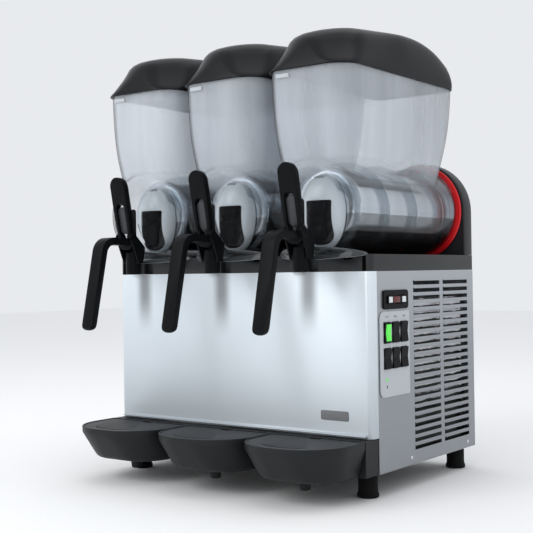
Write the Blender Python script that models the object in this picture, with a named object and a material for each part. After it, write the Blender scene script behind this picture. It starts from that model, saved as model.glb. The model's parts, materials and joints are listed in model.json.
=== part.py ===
"""Three-bowl slush machine, modelled as an assembly of separate parts.

Units are metres, +Z is up, -Y is the serving side.  The parts are drawn round the
middle of the cabinet's footprint on the floor; the finished machine is then placed with
the middle of its bounding box's base on the origin.  Every object is one physical part.
"""

from math import cos, dist, pi, radians, sin, tau

import bmesh
import bpy
from mathutils import Matrix, Vector

# ---------------------------------------------------------------- driving sizes
WIDTH = 0.600              # cabinet, side to side
DEPTH = 0.398              # cabinet, front to rear
PITCH = 0.200              # bowl to bowl
FOOT_HEIGHT = 0.043
CABINET_TOP = 0.397
DECK_TOP = 0.4265
DRUM_Z = 0.515             # height of the evaporator axis
DRUM_RADIUS = 0.070
TROUGH_RADIUS = 0.088      # outside of the bowl's round bottom
BOWL_RIM_Z = 0.757
LID_SKIRT_Z = 0.7535       # the lid's skirt ends a little below the bowl's rim
LID_TOP_Z = 0.838
GAP = 0.0004               # clearance between parts that touch
SHEET = 0.0015             # steel sheet

BAYS = {"left": -PITCH, "centre": 0.0, "right": PITCH}

HALF = WIDTH / 2
FRONT = -DEPTH / 2
REAR = DEPTH / 2
PANEL_BOTTOM = FOOT_HEIGHT
TRAY_RIM_Z = 0.106
TRAY_REAR = -0.2225
HOUSING_FRONT = 0.165
WALL = 0.003               # moulded plastic walls
SEAL_RADIUS = 0.097
ROUND = 28                 # sides of a visible round

# bowl and lid
MOUTH_Y = 0.1530           # rear mouth of the bowl, against the seal
TROUGH_FRONT = -0.245
BOWL_LEVELS = (            # height, half width, front, rear, front corner radius
    (BOWL_RIM_Z, 0.0885, -0.2500, 0.1525, 0.042),
    (0.6730, 0.0875, -0.2470, 0.1390, 0.044),
    (0.6060, 0.0820, -0.2395, 0.1190, 0.046),
    (0.5600, 0.0745, -0.2330, 0.1110, 0.046),
)
BOWL_REAR_CORNER = 0.022

# tap: barrel axis, port into the bowl, lever pivot
TAP_Y = -0.2635
TAP_RADIUS = 0.0145
TAP_BORE = 0.0108
TAP_TOP = 0.452
PORT_Y = -0.248
PORT_Z = 0.4415
PORT_RADIUS = 0.0060       # clear width of the port
PORT_WALL = 0.0020
PIVOT = (-0.283, 0.468)
LEVER_WIDTH = 0.033
LEVER_FOOT = (-0.2768, 0.4450)
LEVER_TOP = (-0.3035, 0.5840)
LEVER_THICK = 0.014
SLOT_HALF = 0.0078
HANDLE_WIDTH = 0.026

# drip tray: height, half width, front, front corner radius
TRAY_LEVELS = (
    (TRAY_RIM_Z, 0.0990, -0.3600, 0.0860),
    (0.0980, 0.0990, -0.3600, 0.0860),
    (0.0520, 0.0870, -0.3240, 0.0620),
    (PANEL_BOTTOM, 0.0820, -0.3150, 0.0560),
)
TRAY_CENTRE_Y = -0.262     # drain stub, and centre of the grid's crescent
TRAY_STEPS = 5             # facets of a tray's front corner
ARCH_STEPS = 10            # facets of one arch of the rear housing

# refrigeration
PAN_FLOOR = PANEL_BOTTOM + 0.003 + GAP
CONDENSER = ((0.262, -0.045, 0.062), (0.288, 0.165, 0.345))
FAN_CENTRE = (0.236, 0.060, 0.205)
LOUVRE_ROWS = 23
LOUVRE_Z = (0.0725, 0.3745)
LOUVRE_COLUMNS = ((-0.050, 0.054), (0.067, 0.172))
SLOT_HEIGHT = 0.0080

# switches on the right side panel: centres (y, z) and sizes
PLATE_Y = (-0.174, -0.070)
PLATE_Z = (0.175, 0.3255)
ROCKER_SIZE = (0.0245, 0.036)
ROCKER_COLUMNS = (-0.1495, -0.1200, -0.0905)
ROCKER_ROWS = (0.288, 0.2425)
MAIN_Y = (-0.162, -0.074)
MAIN_Z = (0.329, 0.363)
MAIN_ROCKER = (0.064, 0.014)

# materials: colour, roughness, metallic, transmission
STEEL = ("brushed_steel", (0.62, 0.64, 0.66), 0.32, 1.0, 0.0)
BRIGHT = ("evaporator_steel", (0.72, 0.73, 0.75), 0.2, 1.0, 0.0)
GREY_PAINT = ("grey_paint", (0.35, 0.36, 0.37), 0.45, 0.6, 0.0)
BLACK = ("black_plastic", (0.025, 0.026, 0.028), 0.35, 0.0, 0.0)
CHARCOAL = ("charcoal_plastic", (0.055, 0.057, 0.062), 0.5, 0.0, 0.0)
SILICONE = ("red_silicone", (0.75, 0.03, 0.03), 0.4, 0.0, 0.0)
CLEAR = ("clear_polycarbonate", (0.9, 0.93, 0.95), 0.05, 0.0, 0.9)
WHITE = ("white_plastic", (0.85, 0.87, 0.88), 0.3, 0.0, 0.0)
SILVER = ("silver_plate", (0.70, 0.72, 0.74), 0.35, 0.4, 0.0)
GREEN = ("green_lens", (0.10, 0.85, 0.12), 0.3, 0.0, 0.0)
RUBBER = ("black_rubber", (0.02, 0.02, 0.02), 0.7, 0.0, 0.0)
ALUMINIUM = ("aluminium_fins", (0.65, 0.66, 0.68), 0.4, 0.9, 0.0)


# ---------------------------------------------------------------- scene helpers
def clear_scene():
    for obj in list(bpy.data.objects):
        bpy.data.objects.remove(obj, do_unlink=True)


def make_collection(name):
    collection = bpy.data.collections.new(name)
    bpy.context.scene.collection.children.link(collection)
    return collection


def material(spec):
    name, colour, roughness, metallic, transmission = spec
    found = bpy.data.materials.get(name)
    if found:
        return found
    made = bpy.data.materials.new(name)
    made.use_nodes = True
    shader = made.node_tree.nodes["Principled BSDF"]
    shader.inputs["Base Color"].default_value = (*colour, 1.0)
    shader.inputs["Roughness"].default_value = roughness
    shader.inputs["Metallic"].default_value = metallic
    shader.inputs["Transmission Weight"].default_value = transmission
    made.diffuse_color = (*colour, 1.0)
    return made


def add_object(name, mesh, collection, spec=None, location=(0, 0, 0), parent=None):
    obj = bpy.data.objects.new(name, mesh)
    obj.location = location
    collection.objects.link(obj)
    if spec and not mesh.materials:
        mesh.materials.append(material(spec))
    if parent:
        obj.parent = parent
        obj.matrix_parent_inverse = Matrix.Translation(-Vector(parent.location))
    return obj


def mesh_from(build, name="shape"):
    """Mesh made by a function that fills a bmesh; faces are turned outward."""
    bm = bmesh.new()
    build(bm)
    bmesh.ops.recalc_face_normals(bm, faces=bm.faces)
    mesh = bpy.data.meshes.new(name)
    bm.to_mesh(mesh)
    bm.free()
    return mesh


def box(lo, hi):
    """Closed box between two corners."""
    size = [b - a for a, b in zip(lo, hi)]
    middle = [(a + b) / 2 for a, b in zip(lo, hi)]
    matrix = Matrix.Translation(middle) @ Matrix.Diagonal((*size, 1.0))
    return mesh_from(lambda bm: bmesh.ops.create_cube(bm, size=1.0, matrix=matrix))


def cylinder(centre, radius, length, axis="Z", sides=ROUND, top_radius=None):
    """Closed cylinder or cone; its length runs along the named axis."""
    turn = {"X": Matrix.Rotation(pi / 2, 4, "Y"),
            "Y": Matrix.Rotation(-pi / 2, 4, "X"),
            "Z": Matrix.Identity(4)}[axis]
    matrix = Matrix.Translation(centre) @ turn
    tip = radius if top_radius is None else top_radius
    return mesh_from(lambda bm: bmesh.ops.create_cone(
        bm, cap_ends=True, segments=sides, radius1=radius, radius2=tip,
        depth=length, matrix=matrix))


def loft(rings, closed_ends=True):
    """Skin through rings of equally many points; the ends are capped."""
    def build(bm):
        loops = [[bm.verts.new(point) for point in ring] for ring in rings]
        count = len(loops[0])
        for lower, upper in zip(loops, loops[1:]):
            for i in range(count):
                j = (i + 1) % count
                bm.faces.new((lower[i], lower[j], upper[j], upper[i]))
        if closed_ends:
            bm.faces.new(loops[0])
            bm.faces.new(loops[-1])
    return mesh_from(build)


def extrude_outline(points, start, end, axis):
    """Prism of a flat outline; the outline's two coordinates are the other two axes."""
    points = [p for p, before in zip(points, [points[-1], *points[:-1]]) if dist(p, before) > 1e-5]
    place = {"X": lambda p, t: (t, p[0], p[1]),
             "Y": lambda p, t: (p[0], t, p[1]),
             "Z": lambda p, t: (p[0], p[1], t)}[axis]
    return loft([[place(p, t) for p in points] for t in (start, end)])


def turned(profile, centre, sides=ROUND):
    """Ring turned about a line along Y; profile is a closed loop of (radius, y)."""
    x, z = centre

    def build(bm):
        loops = []
        for k in range(sides):
            angle = tau * k / sides
            loops.append([bm.verts.new((x + r * cos(angle), y, z + r * sin(angle)))
                          for r, y in profile])
        count = len(profile)
        for k in range(sides):
            here = loops[k]
            there = loops[(k + 1) % sides]
            for i in range(count):
                j = (i + 1) % count
                bm.faces.new((here[i], here[j], there[j], there[i]))
    return mesh_from(build)


def combine(base, others, operation, helpers):
    """Boolean of closed meshes, returned as one mesh."""
    target = bpy.data.objects.new("combine_base", base)
    helpers.objects.link(target)
    tools = []
    for other in others:
        tool = bpy.data.objects.new("combine_tool", other)
        helpers.objects.link(tool)
        tools.append(tool)
        step = target.modifiers.new("combine", "BOOLEAN")
        step.operation = operation
        step.object = tool
        step.solver = "EXACT"
    bpy.context.view_layer.update()
    graph = bpy.context.evaluated_depsgraph_get()
    result = bpy.data.meshes.new_from_object(target.evaluated_get(graph))
    for obj in [target, *tools]:
        bpy.data.objects.remove(obj, do_unlink=True)
    bm = bmesh.new()
    bm.from_mesh(result)
    bmesh.ops.remove_doubles(bm, verts=bm.verts, dist=0.00002)
    bmesh.ops.dissolve_degenerate(bm, edges=bm.edges, dist=0.00002)
    bmesh.ops.dissolve_limit(bm, angle_limit=radians(0.5), verts=bm.verts, edges=bm.edges)
    bm.to_mesh(result)
    bm.free()
    result.materials.clear()
    return result


def smooth(mesh, angle=35):
    mesh.shade_smooth()
    mesh.set_sharp_from_angle(angle=radians(angle))
    return mesh


# ---------------------------------------------------------------- outlines
def arc(centre, radius, start, end, steps):
    """Points of an arc in degrees, both ends included."""
    points = []
    for k in range(steps + 1):
        angle = radians(start + (end - start) * k / steps)
        points.append((centre[0] + radius * cos(angle), centre[1] + radius * sin(angle)))
    return points


def rounded_box(x0, x1, y0, y1, radii, steps=4):
    """Rounded rectangle; radii are for the (x0,y0), (x1,y0), (x1,y1), (x0,y1) corners."""
    a, b, c, d = radii
    points = arc((x0 + a, y0 + a), a, 180, 270, steps)
    points += arc((x1 - b, y0 + b), b, 270, 360, steps)
    points += arc((x1 - c, y1 - c), c, 0, 90, steps)
    points += arc((x0 + d, y1 - d), d, 90, 180, steps)
    return points


def ring_at(outline, z):
    return [(x, y, z) for x, y in outline]


# ---------------------------------------------------------------- cabinet
def make_chassis_base(helpers):
    """Floor pan with upturned sides and the beam that carries the drip trays."""
    inside = HALF - SHEET - GAP
    pan = box((-inside, FRONT + SHEET + GAP, PANEL_BOTTOM), (inside, REAR - SHEET - GAP, 0.068))
    hollow = box((-inside + 0.002, FRONT + 0.004, PANEL_BOTTOM + 0.003),
                 (inside - 0.002, REAR - 0.004, 0.080))
    beam = box((-HALF + 0.001, TRAY_REAR + GAP, PANEL_BOTTOM), (HALF - 0.001, FRONT + 0.0196, 0.1055))
    pan = combine(pan, [hollow], "DIFFERENCE", helpers)
    return combine(pan, [beam], "UNION", helpers)


def sheet_strip(path, z0, z1):
    """Bent sheet standing upright along a path in plan, thickness to the inner side."""
    inner = []
    for i, point in enumerate(path):
        before = Vector(path[max(i - 1, 0)])
        after = Vector(path[min(i + 1, len(path) - 1)])
        run = (after - before).normalized()
        inner.append((point[0] - run.y * SHEET, point[1] + run.x * SHEET))
    return extrude_outline(list(path) + inner[::-1], z0, z1, "Z")


def make_front_panel(helpers):
    """Front sheet with rounded corners, short side returns and a folded drip lip."""
    corner = 0.012
    wing = FRONT + 0.020
    path = [(-HALF, wing)]
    path += arc((-HALF + corner, FRONT + corner), corner, 180, 270, 5)
    path += arc((HALF - corner, FRONT + corner), corner, 270, 360, 5)
    path += [(HALF, wing)]
    sheet = sheet_strip(path, 0.1065, CABINET_TOP - GAP)
    lip = box((-HALF + corner, FRONT - 0.008, 0.1115), (HALF - corner, FRONT + 0.0005, 0.1130))
    return combine(sheet, [lip], "UNION", helpers)


def louvre_cutters(sign):
    """Two columns of horizontal slots for the cooling air."""
    cutters = []
    bottom, top = LOUVRE_Z
    x = sign * (HALF - SHEET / 2)
    for y0, y1 in LOUVRE_COLUMNS:
        for row in range(LOUVRE_ROWS):
            z = bottom + (top - bottom) * row / (LOUVRE_ROWS - 1)
            cutters.append(box((x - 0.003, y0, z - SLOT_HEIGHT / 2), (x + 0.003, y1, z + SLOT_HEIGHT / 2)))
    return cutters


def joined_boxes(meshes):
    """Several separate closed meshes in one mesh, used as one cutter."""
    def build(bm):
        for mesh in meshes:
            bm.from_mesh(mesh)
    return mesh_from(build)


def make_side_panel(sign, with_controls, helpers):
    """Side sheet with louvres and rounded rear bottom corner."""
    front_edge = FRONT + 0.020 + GAP
    outline = rounded_box(front_edge, REAR - SHEET - GAP, PANEL_BOTTOM, CABINET_TOP - GAP,
                          (0.001, 0.006, 0.001, 0.001), 3)
    x_out = sign * HALF
    x_in = sign * (HALF - SHEET)
    sheet = extrude_outline(outline, min(x_out, x_in), max(x_out, x_in), "X")
    cutters = louvre_cutters(sign)
    if with_controls:
        cutters.append(box((HALF - 0.01, -0.1655, 0.2205), (HALF + 0.01, -0.0745, 0.3100)))
        cutters.append(box((HALF - 0.01, MAIN_Y[0] + 0.005, MAIN_Z[0] + 0.005),
                           (HALF + 0.01, MAIN_Y[1] - 0.005, MAIN_Z[1] - 0.005)))
    return combine(sheet, [joined_boxes(cutters)], "DIFFERENCE", helpers)


def make_rear_panel(helpers):
    """Rear sheet between the side panels, with one field of slots."""
    edge = HALF - GAP
    sheet = box((-edge, REAR - SHEET, PANEL_BOTTOM), (edge, REAR, CABINET_TOP - GAP))
    slots = []
    for x in (-0.14, 0.14):
        for row in range(8):
            z = 0.12 + 0.02 * row
            slots.append(box((x - 0.08, REAR - 0.005, z - 0.004), (x + 0.08, REAR + 0.005, z + 0.004)))
    return combine(sheet, [joined_boxes(slots)], "DIFFERENCE", helpers)


def make_deck(helpers):
    """Moulded top frame, hollow underneath, with a locating tab beside each tap."""
    outline = rounded_box(-HALF, HALF, FRONT, REAR, (0.012, 0.012, 0.002, 0.002), 4)
    slab = extrude_outline(outline, CABINET_TOP, DECK_TOP, "Z")
    hollow = box((-HALF + WALL, FRONT + WALL, CABINET_TOP - 0.01),
                 (HALF - WALL, REAR - WALL, DECK_TOP - WALL))
    slab = combine(slab, [hollow], "DIFFERENCE", helpers)
    tabs = []
    for x in BAYS.values():
        tab = extrude_outline(rounded_box(x - 0.058, x - 0.034, CABINET_TOP, 0.4335,
                                          (0.001, 0.001, 0.009, 0.009), 3),
                              FRONT - 0.010, FRONT + 0.001, "Y")
        tabs.append(tab)
    slab = combine(slab, [joined_boxes(tabs)], "UNION", helpers)
    slots = [cylinder((x, HOUSING_FRONT - 0.006, DRUM_Z), SEAL_RADIUS + 0.0015, 0.014, "Y", 48)
             for x in BAYS.values()]
    return combine(slab, [joined_boxes(slots)], "DIFFERENCE", helpers)


def arch_outline(radius, half_width, bottom):
    """Outline in X and Z of three arches side by side on a straight base."""
    points = [(-half_width, bottom)]
    for x in BAYS.values():
        points += arc((x, DRUM_Z), radius, 180, 0, ARCH_STEPS)
    points.append((half_width, bottom))
    return points


def make_rear_housing(helpers):
    """Hood over the three gearmotors; open at the bottom, a hole for each drum."""
    bottom = DECK_TOP + GAP
    radius = PITCH / 2
    shell = extrude_outline(arch_outline(radius, HALF, bottom), HOUSING_FRONT, REAR, "Y")
    hollow = extrude_outline(arch_outline(radius - WALL, HALF - WALL, bottom - 0.01),
                             HOUSING_FRONT + WALL, REAR - WALL, "Y")
    holes = [cylinder((x, HOUSING_FRONT, DRUM_Z), DRUM_RADIUS + 0.001, 0.02, "Y") for x in BAYS.values()]
    return combine(shell, [hollow, joined_boxes(holes)], "DIFFERENCE", helpers)


# ---------------------------------------------------------------- cooling and drive
def make_evaporator(x):
    """Hollow freezing drum with a rear flange and a hole for the drive shaft."""
    outer = DRUM_RADIUS
    inner = outer - 0.003
    nose = -0.186
    flange = 0.094
    rear = HOUSING_FRONT - GAP
    profile = [(0.0078, nose), (outer - 0.006, nose), (outer, nose + 0.006),
               (outer, rear - 0.003), (flange, rear - 0.003), (flange, rear),
               (inner, rear), (inner, nose + 0.004), (0.0078, nose + 0.004)]
    return turned(profile, (x, DRUM_Z), 20)


def make_bowl_seal(x):
    """Silicone ring between the drum flange and the mouth of the bowl."""
    rear = HOUSING_FRONT - 0.003 - 2 * GAP
    outer = SEAL_RADIUS
    profile = [(0.083, 0.1535), (outer - 0.003, 0.1535), (outer, 0.1560), (outer, rear),
               (0.083, rear)]
    return turned(profile, (x, DRUM_Z))


def make_gearmotor(x, helpers):
    """Gearbox behind the drum with its motor can lying inside the hollow drum."""
    y0 = HOUSING_FRONT + WALL + GAP
    y1 = REAR - WALL - GAP
    gearbox = extrude_outline(rounded_box(x - 0.040, x + 0.040, DRUM_Z - 0.050, DRUM_Z + 0.030,
                                          (0.012,) * 4, 2), y0, y1, "Y")
    can = cylinder((x, 0.125, DRUM_Z - 0.029), 0.0215, 0.095, "Y", 20)
    body = combine(gearbox, [can], "UNION", helpers)
    bore = cylinder((x, y0 + 0.008, DRUM_Z), 0.0062, 0.020, "Y", 16)
    return combine(body, [bore], "DIFFERENCE", helpers)


def make_drive_shaft(x):
    """Shaft from the gearbox to the front, ending in the auger's retaining knob."""
    rear = 0.182
    knob = 0.030
    profile = [(0.0005, rear), (0.0056, rear), (0.0056, -0.2065), (knob - 0.004, -0.2065),
               (knob, -0.2105), (knob, -0.2240), (knob - 0.008, -0.2320), (0.0005, -0.2340)]
    return solid_of_revolution(profile, x, 20)


def solid_of_revolution(profile, x, sides):
    """Turned solid about the drum axis; the first and last points close on the axis."""
    def build(bm):
        loops = []
        for r, y in profile[1:-1]:
            loops.append([bm.verts.new((x + r * cos(tau * k / sides), y, DRUM_Z + r * sin(tau * k / sides)))
                          for k in range(sides)])
        for near, far in zip(loops, loops[1:]):
            for k in range(sides):
                m = (k + 1) % sides
                bm.faces.new((near[k], near[m], far[m], far[k]))
        bm.faces.new(loops[0])
        tip = bm.verts.new((x, profile[-1][1], DRUM_Z))
        for k in range(sides):
            bm.faces.new((loops[-1][k], loops[-1][(k + 1) % sides], tip))
    return mesh_from(build)


def make_auger(helpers):
    """Scraper spiral round the drum, drawn in to a hub on the shaft at the front."""
    turns = 3.25
    per_turn = 16
    start = radians(255)
    rear = 0.138
    nose = -0.1965
    thick = 0.0035
    inner = DRUM_RADIUS + 0.0030
    outer = 0.0825
    steps = int(turns * per_turn)
    rings = []
    for k in range(steps + 1):
        angle = start + tau * k / per_turn
        y = rear + (nose - rear) * k / steps
        rings.append(blade_section(angle, y, inner, outer, thick))
    draw_in = 5
    for k in range(1, draw_in + 1):
        t = k / draw_in
        angle = start + tau * (steps + k * 0.8) / per_turn
        r_in = inner + (0.008 - inner) * min(1.0, 1.3 * t)
        r_out = outer + (0.040 - outer) * t * t
        rings.append(blade_section(angle, nose - 0.003 * t, r_in, r_out, thick * (1 + t)))
    blade = loft(rings)
    hub = turned([(0.0062, -0.1895), (0.0150, -0.1895), (0.0150, -0.2055), (0.0062, -0.2055)],
                 (0.0, DRUM_Z), 20)
    return combine(blade, [hub], "UNION", helpers)


def blade_section(angle, y, r_in, r_out, thick):
    """Four corners of the spiral's section in the half-plane at an angle."""
    corners = ((r_in, y - thick / 2), (r_out, y - thick / 2), (r_out, y + thick / 2), (r_in, y + thick / 2))
    return [(r * cos(angle), yy, DRUM_Z + r * sin(angle)) for r, yy in corners]


def make_compressor(helpers):
    """Hermetic compressor shell standing on a mounting plate."""
    x, y = -0.150, 0.030
    floor = PAN_FLOOR
    plate = box((x - 0.075, y - 0.060, floor), (x + 0.075, y + 0.060, floor + 0.006))
    levels = ((floor + 0.005, 0.052), (floor + 0.020, 0.062), (floor + 0.120, 0.062),
              (floor + 0.150, 0.050), (floor + 0.165, 0.025))
    shell = loft([ring_at(arc((x, y), r, 0, 340, 17), z) for z, r in levels])
    return combine(plate, [shell], "UNION", helpers)


def make_condenser(helpers):
    """Finned block of the condenser behind the right louvres."""
    lo, hi = CONDENSER
    block = box((lo[0], lo[1], PAN_FLOOR), hi)
    grooves = []
    count = 9
    for k in range(count):
        z = lo[2] + 0.02 + (hi[2] - lo[2] - 0.04) * k / (count - 1)
        grooves.append(box((hi[0] - 0.005, lo[1] + 0.008, z - 0.006),
                           (hi[0] + 0.005, hi[1] - 0.008, z + 0.006)))
    return combine(block, [joined_boxes(grooves)], "DIFFERENCE", helpers)


def make_fan_shroud(helpers):
    """Square shroud with a round duct, and the fan motor on its cross bar."""
    x, y, z = FAN_CENTRE
    lo = x - 0.010
    hi = CONDENSER[0][0] - GAP
    plate = box((lo, y - 0.100, PAN_FLOOR), (hi, y + 0.100, z + 0.105))
    duct = cylinder(FAN_CENTRE, 0.090, 0.08, "X", 28)
    shroud = combine(plate, [duct], "DIFFERENCE", helpers)
    bar = box((lo - 0.006, y - 0.0985, z - 0.008), (lo + 0.0005, y + 0.0985, z + 0.008))
    motor = cylinder((lo - 0.022, y, z), 0.028, 0.040, "X", 20)
    return combine(shroud, [bar, motor], "UNION", helpers)


def fan_hub():
    """Centre of the fan's hub, a little nearer the condenser than the shroud's middle."""
    x, y, z = FAN_CENTRE
    return (x + 0.006, y, z)


def make_fan_blades(helpers):
    """Five pitched blades on a hub."""
    hub = cylinder(fan_hub(), 0.026, 0.012, "X", 20)
    blades = []
    count = 5
    for k in range(count):
        blade = box((-0.0010, -0.018, 0.020), (0.0010, 0.018, 0.084))
        pitch = Matrix.Rotation(radians(22), 4, "Z")
        spin = Matrix.Rotation(tau * k / count, 4, "X")
        blade.transform(Matrix.Translation(fan_hub()) @ spin @ pitch)
        blades.append(blade)
    return combine(hub, blades, "UNION", helpers)


def make_foot(x, y):
    """Levelling foot: stem, waist and a wider pad."""
    top = FOOT_HEIGHT - GAP
    levels = ((0.0, 0.0175), (0.002, 0.0195), (0.007, 0.0195), (0.010, 0.0175), (top, 0.0175))
    return loft([ring_at(arc((x, y), r, 0, 340, 17), z) for z, r in levels])


# ---------------------------------------------------------------- bowl and lid
def bowl_ring(half_width, front, rear, corner, z, grow=0.0):
    back = BOWL_REAR_CORNER + grow
    outline = rounded_box(-half_width - grow, half_width + grow, front - grow, rear + grow,
                          (corner + grow, corner + grow, back, back), 3)
    return ring_at(outline, z)


def bowl_skin(grow, top):
    """Upper hopper of the bowl, offset by grow and carried up to a given height."""
    rings = [bowl_ring(w, front, rear, corner, z, grow) for z, w, front, rear, corner in BOWL_LEVELS]
    _, w, front, rear, corner = BOWL_LEVELS[0]
    if top > BOWL_RIM_Z:
        rings.insert(0, bowl_ring(w, front, rear, corner, top, grow))
    return loft(rings)


def trough_skin(radius, front, rear, corner):
    """Round trough along Y with a rounded front end."""
    bend = [(radius - corner + corner * sin(radians(a)), front + corner * (1 - cos(radians(a))))
            for a in (0, 35, 90)]
    rings = []
    for r, y in bend + [(radius, rear)]:
        rings.append([(r * cos(tau * k / ROUND), y, DRUM_Z + r * sin(tau * k / ROUND)) for k in range(ROUND)])
    return loft(rings)


def make_bowl(helpers):
    """Clear bowl: hopper over a round trough, open at the top and at the rear mouth."""
    corner = 0.024
    outer = combine(bowl_skin(0.0, BOWL_RIM_Z),
                    [trough_skin(TROUGH_RADIUS, TROUGH_FRONT, MOUTH_Y, corner)], "UNION", helpers)
    inner = combine(bowl_skin(-WALL, BOWL_RIM_Z + 0.02),
                    [trough_skin(TROUGH_RADIUS - WALL, TROUGH_FRONT + WALL, MOUTH_Y + 0.02, corner - WALL)],
                    "UNION", helpers)
    bowl = combine(outer, [inner], "DIFFERENCE", helpers)
    port = cylinder((0.0, TROUGH_FRONT, PORT_Z), PORT_RADIUS + PORT_WALL + GAP, 0.05, "Y", 16)
    return combine(bowl, [port], "DIFFERENCE", helpers)


def lid_profile(offset):
    """Side outline (y, z) of the lid, moved inward by offset."""
    top = LID_TOP_Z - offset
    front = -0.2555 + offset
    rear = 0.1550 - offset
    bottom = LID_SKIRT_Z
    nose = [(front, bottom), (front, 0.7800), (front + 0.011, top - 0.031), (front + 0.028, top - 0.017)]
    crown = [(-0.1850, top - 0.007), (-0.0950, top), (0.0300, top), (0.0800, top - 0.008)]
    tail = [(0.1200, top - 0.024), (rear - 0.008, top - 0.046), (rear, 0.7780), (rear, bottom)]
    return nose + crown + tail


def lid_plan(offset, top):
    """Plan of the lid, narrowing upwards with ever rounder front corners."""
    levels = ((0.750, 0.0918, 0.044), (0.777, 0.0890, 0.068), (0.805, 0.0850, 0.084), (top, 0.0770, 0.0765))
    rings = []
    for z, half_width, corner in levels:
        outline = rounded_box(-half_width + offset, half_width - offset, -0.2570 + offset, 0.1560 - offset,
                              (corner, corner, 0.024, 0.024), 5)
        rings.append(ring_at(outline, z))
    return loft(rings)


def lid_crown(offset):
    """Front outline (x, z) of the lid: the top is domed and falls to the sides."""
    top = LID_TOP_Z - offset
    half = [(0.095, 0.7400), (0.095, 0.7950), (0.0875, top - 0.0110), (0.070, top - 0.0035), (0.035, top)]
    outline = half + [(-x, z) for x, z in reversed(half)]
    return extrude_outline(outline, -0.3, 0.2, "Y")


def make_lid(helpers):
    """Lid shell with a skirt outside the bowl's rim and a ledge that rests on it."""
    above = LID_TOP_Z + 0.006
    below = 0.7485
    ledge = 0.0065
    side_shape = extrude_outline(lid_profile(0.0), -0.1, 0.1, "X")
    outer = combine(side_shape, [lid_plan(0.0, above), lid_crown(0.0)], "INTERSECT", helpers)
    inside = [(y, z if z > BOWL_RIM_Z else below) for y, z in lid_profile(0.0032)]
    hollow_profile = extrude_outline(inside, -0.1, 0.1, "X")
    hollow_plan = lid_plan(ledge, above)
    hollow = combine(hollow_profile, [hollow_plan, lid_crown(0.0032)], "INTERSECT", helpers)
    _, w, front, rear, corner = BOWL_LEVELS[0]
    pocket = loft([bowl_ring(w, front, rear, corner, z, GAP + 0.0002) for z in (0.740, BOWL_RIM_Z + GAP)])
    return combine(outer, [hollow, pocket], "DIFFERENCE", helpers)


# ---------------------------------------------------------------- tap
def make_tap_body(helpers):
    """Upright barrel with a port into the bowl and two cheeks for the lever's pivot."""
    barrel = cylinder((0, TAP_Y, (CABINET_TOP + TAP_TOP) / 2), TAP_RADIUS, TAP_TOP - CABINET_TOP, "Z", 20)
    port = cylinder((0, PORT_Y, PORT_Z), PORT_RADIUS + PORT_WALL, 0.020, "Y", 12)
    cheeks = []
    inner = LEVER_WIDTH / 2 + 0.0006
    outer = inner + 0.0035
    py, pz = PIVOT
    for side in (-1, 1):
        outline = [(TAP_Y + 0.006, 0.4180), (TAP_Y + 0.012, 0.4500)]
        outline += arc((py, pz), 0.0085, 60, 240, 6)
        outline += [(TAP_Y - 0.006, 0.4180)]
        lo, hi = sorted((side * inner, side * outer))
        cheeks.append(extrude_outline(outline[::-1], lo, hi, "X"))
    brace = box((-outer, TAP_Y - 0.006, 0.4180), (outer, TAP_Y + 0.006, 0.4300))
    body = combine(barrel, [port, brace, *cheeks], "UNION", helpers)
    bore = cylinder((0, TAP_Y, 0.425), TAP_BORE, 0.08, "Z", 20)
    channel = cylinder((0, PORT_Y, PORT_Z), PORT_RADIUS, 0.030, "Y", 12)
    relief = box((-0.0168, TAP_Y - 0.03, 0.4395), (0.0168, -0.2575, 0.47))
    pivot = cylinder((0, py, pz), 0.0046, 0.06, "X", 12)
    return combine(body, [bore, channel, relief, pivot], "DIFFERENCE", helpers)


def make_tap_piston(helpers):
    """Piston that covers the port, and its stem, notched where the lever's nose lifts it."""
    fit = TAP_BORE - 0.0005
    stem_radius = 0.0066
    levels = ((0.4310, fit - 0.0018), (0.4335, fit), (0.4560, fit), (0.4565, stem_radius),
              (0.5200, stem_radius), (0.5240, stem_radius - 0.0026))
    stem = loft([ring_at(arc((0, TAP_Y), r, 0, 342, 19), z) for z, r in levels])
    notch = box((-0.02, TAP_Y - 0.02, 0.4375), (0.02, -0.2590, 0.4640))
    front_room = box((-0.02, TAP_Y - 0.02, 0.4640), (0.02, -0.2672, 0.5300))
    return combine(stem, [notch, front_room], "DIFFERENCE", helpers)


def make_tap_lever(helpers):
    """One-piece lever: slotted upright paddle, hub with trunnions and hanging handle."""
    py, pz = PIVOT
    paddle = tilted_paddle()
    handle = extrude_outline(handle_profile(), -HANDLE_WIDTH / 2, HANDLE_WIDTH / 2, "X")
    trunnion = cylinder((0, py, pz), 0.0040, 2 * (LEVER_WIDTH / 2 + 0.0035), "X", 12)
    lever = combine(paddle, [handle], "UNION", helpers)
    slot = slot_cutter()
    lever = combine(lever, [slot], "DIFFERENCE", helpers)
    sides = [box((s - 0.0022, py - 0.006, pz - 0.006), (s + 0.0022, py + 0.006, pz + 0.006))
             for s in (-0.0120, 0.0120)]
    middle = box((-SLOT_HALF, -0.4, 0.4), (SLOT_HALF, -0.2, 0.6))
    cut_trunnion = combine(trunnion, [middle], "DIFFERENCE", helpers)
    return combine(lever, [*sides, cut_trunnion], "UNION", helpers)


def paddle_line(z):
    """Centre line of the upright paddle in Y at a height."""
    foot_y, foot_z = LEVER_FOOT
    top_y, top_z = LEVER_TOP
    return foot_y + (top_y - foot_y) * (z - foot_z) / (top_z - foot_z)


def tilted_paddle():
    """Flat paddle, rounded at both ends, leaning forward at the top."""
    half = LEVER_WIDTH / 2
    outline = rounded_box(-half, half, LEVER_FOOT[1], LEVER_TOP[1],
                          (0.011, 0.011, half - 0.0005, half - 0.0005), 5)
    rings = []
    for offset in (-LEVER_THICK / 2, LEVER_THICK / 2):
        rings.append([(x, paddle_line(z) + offset, z) for x, z in outline])
    return loft(rings)


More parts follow.
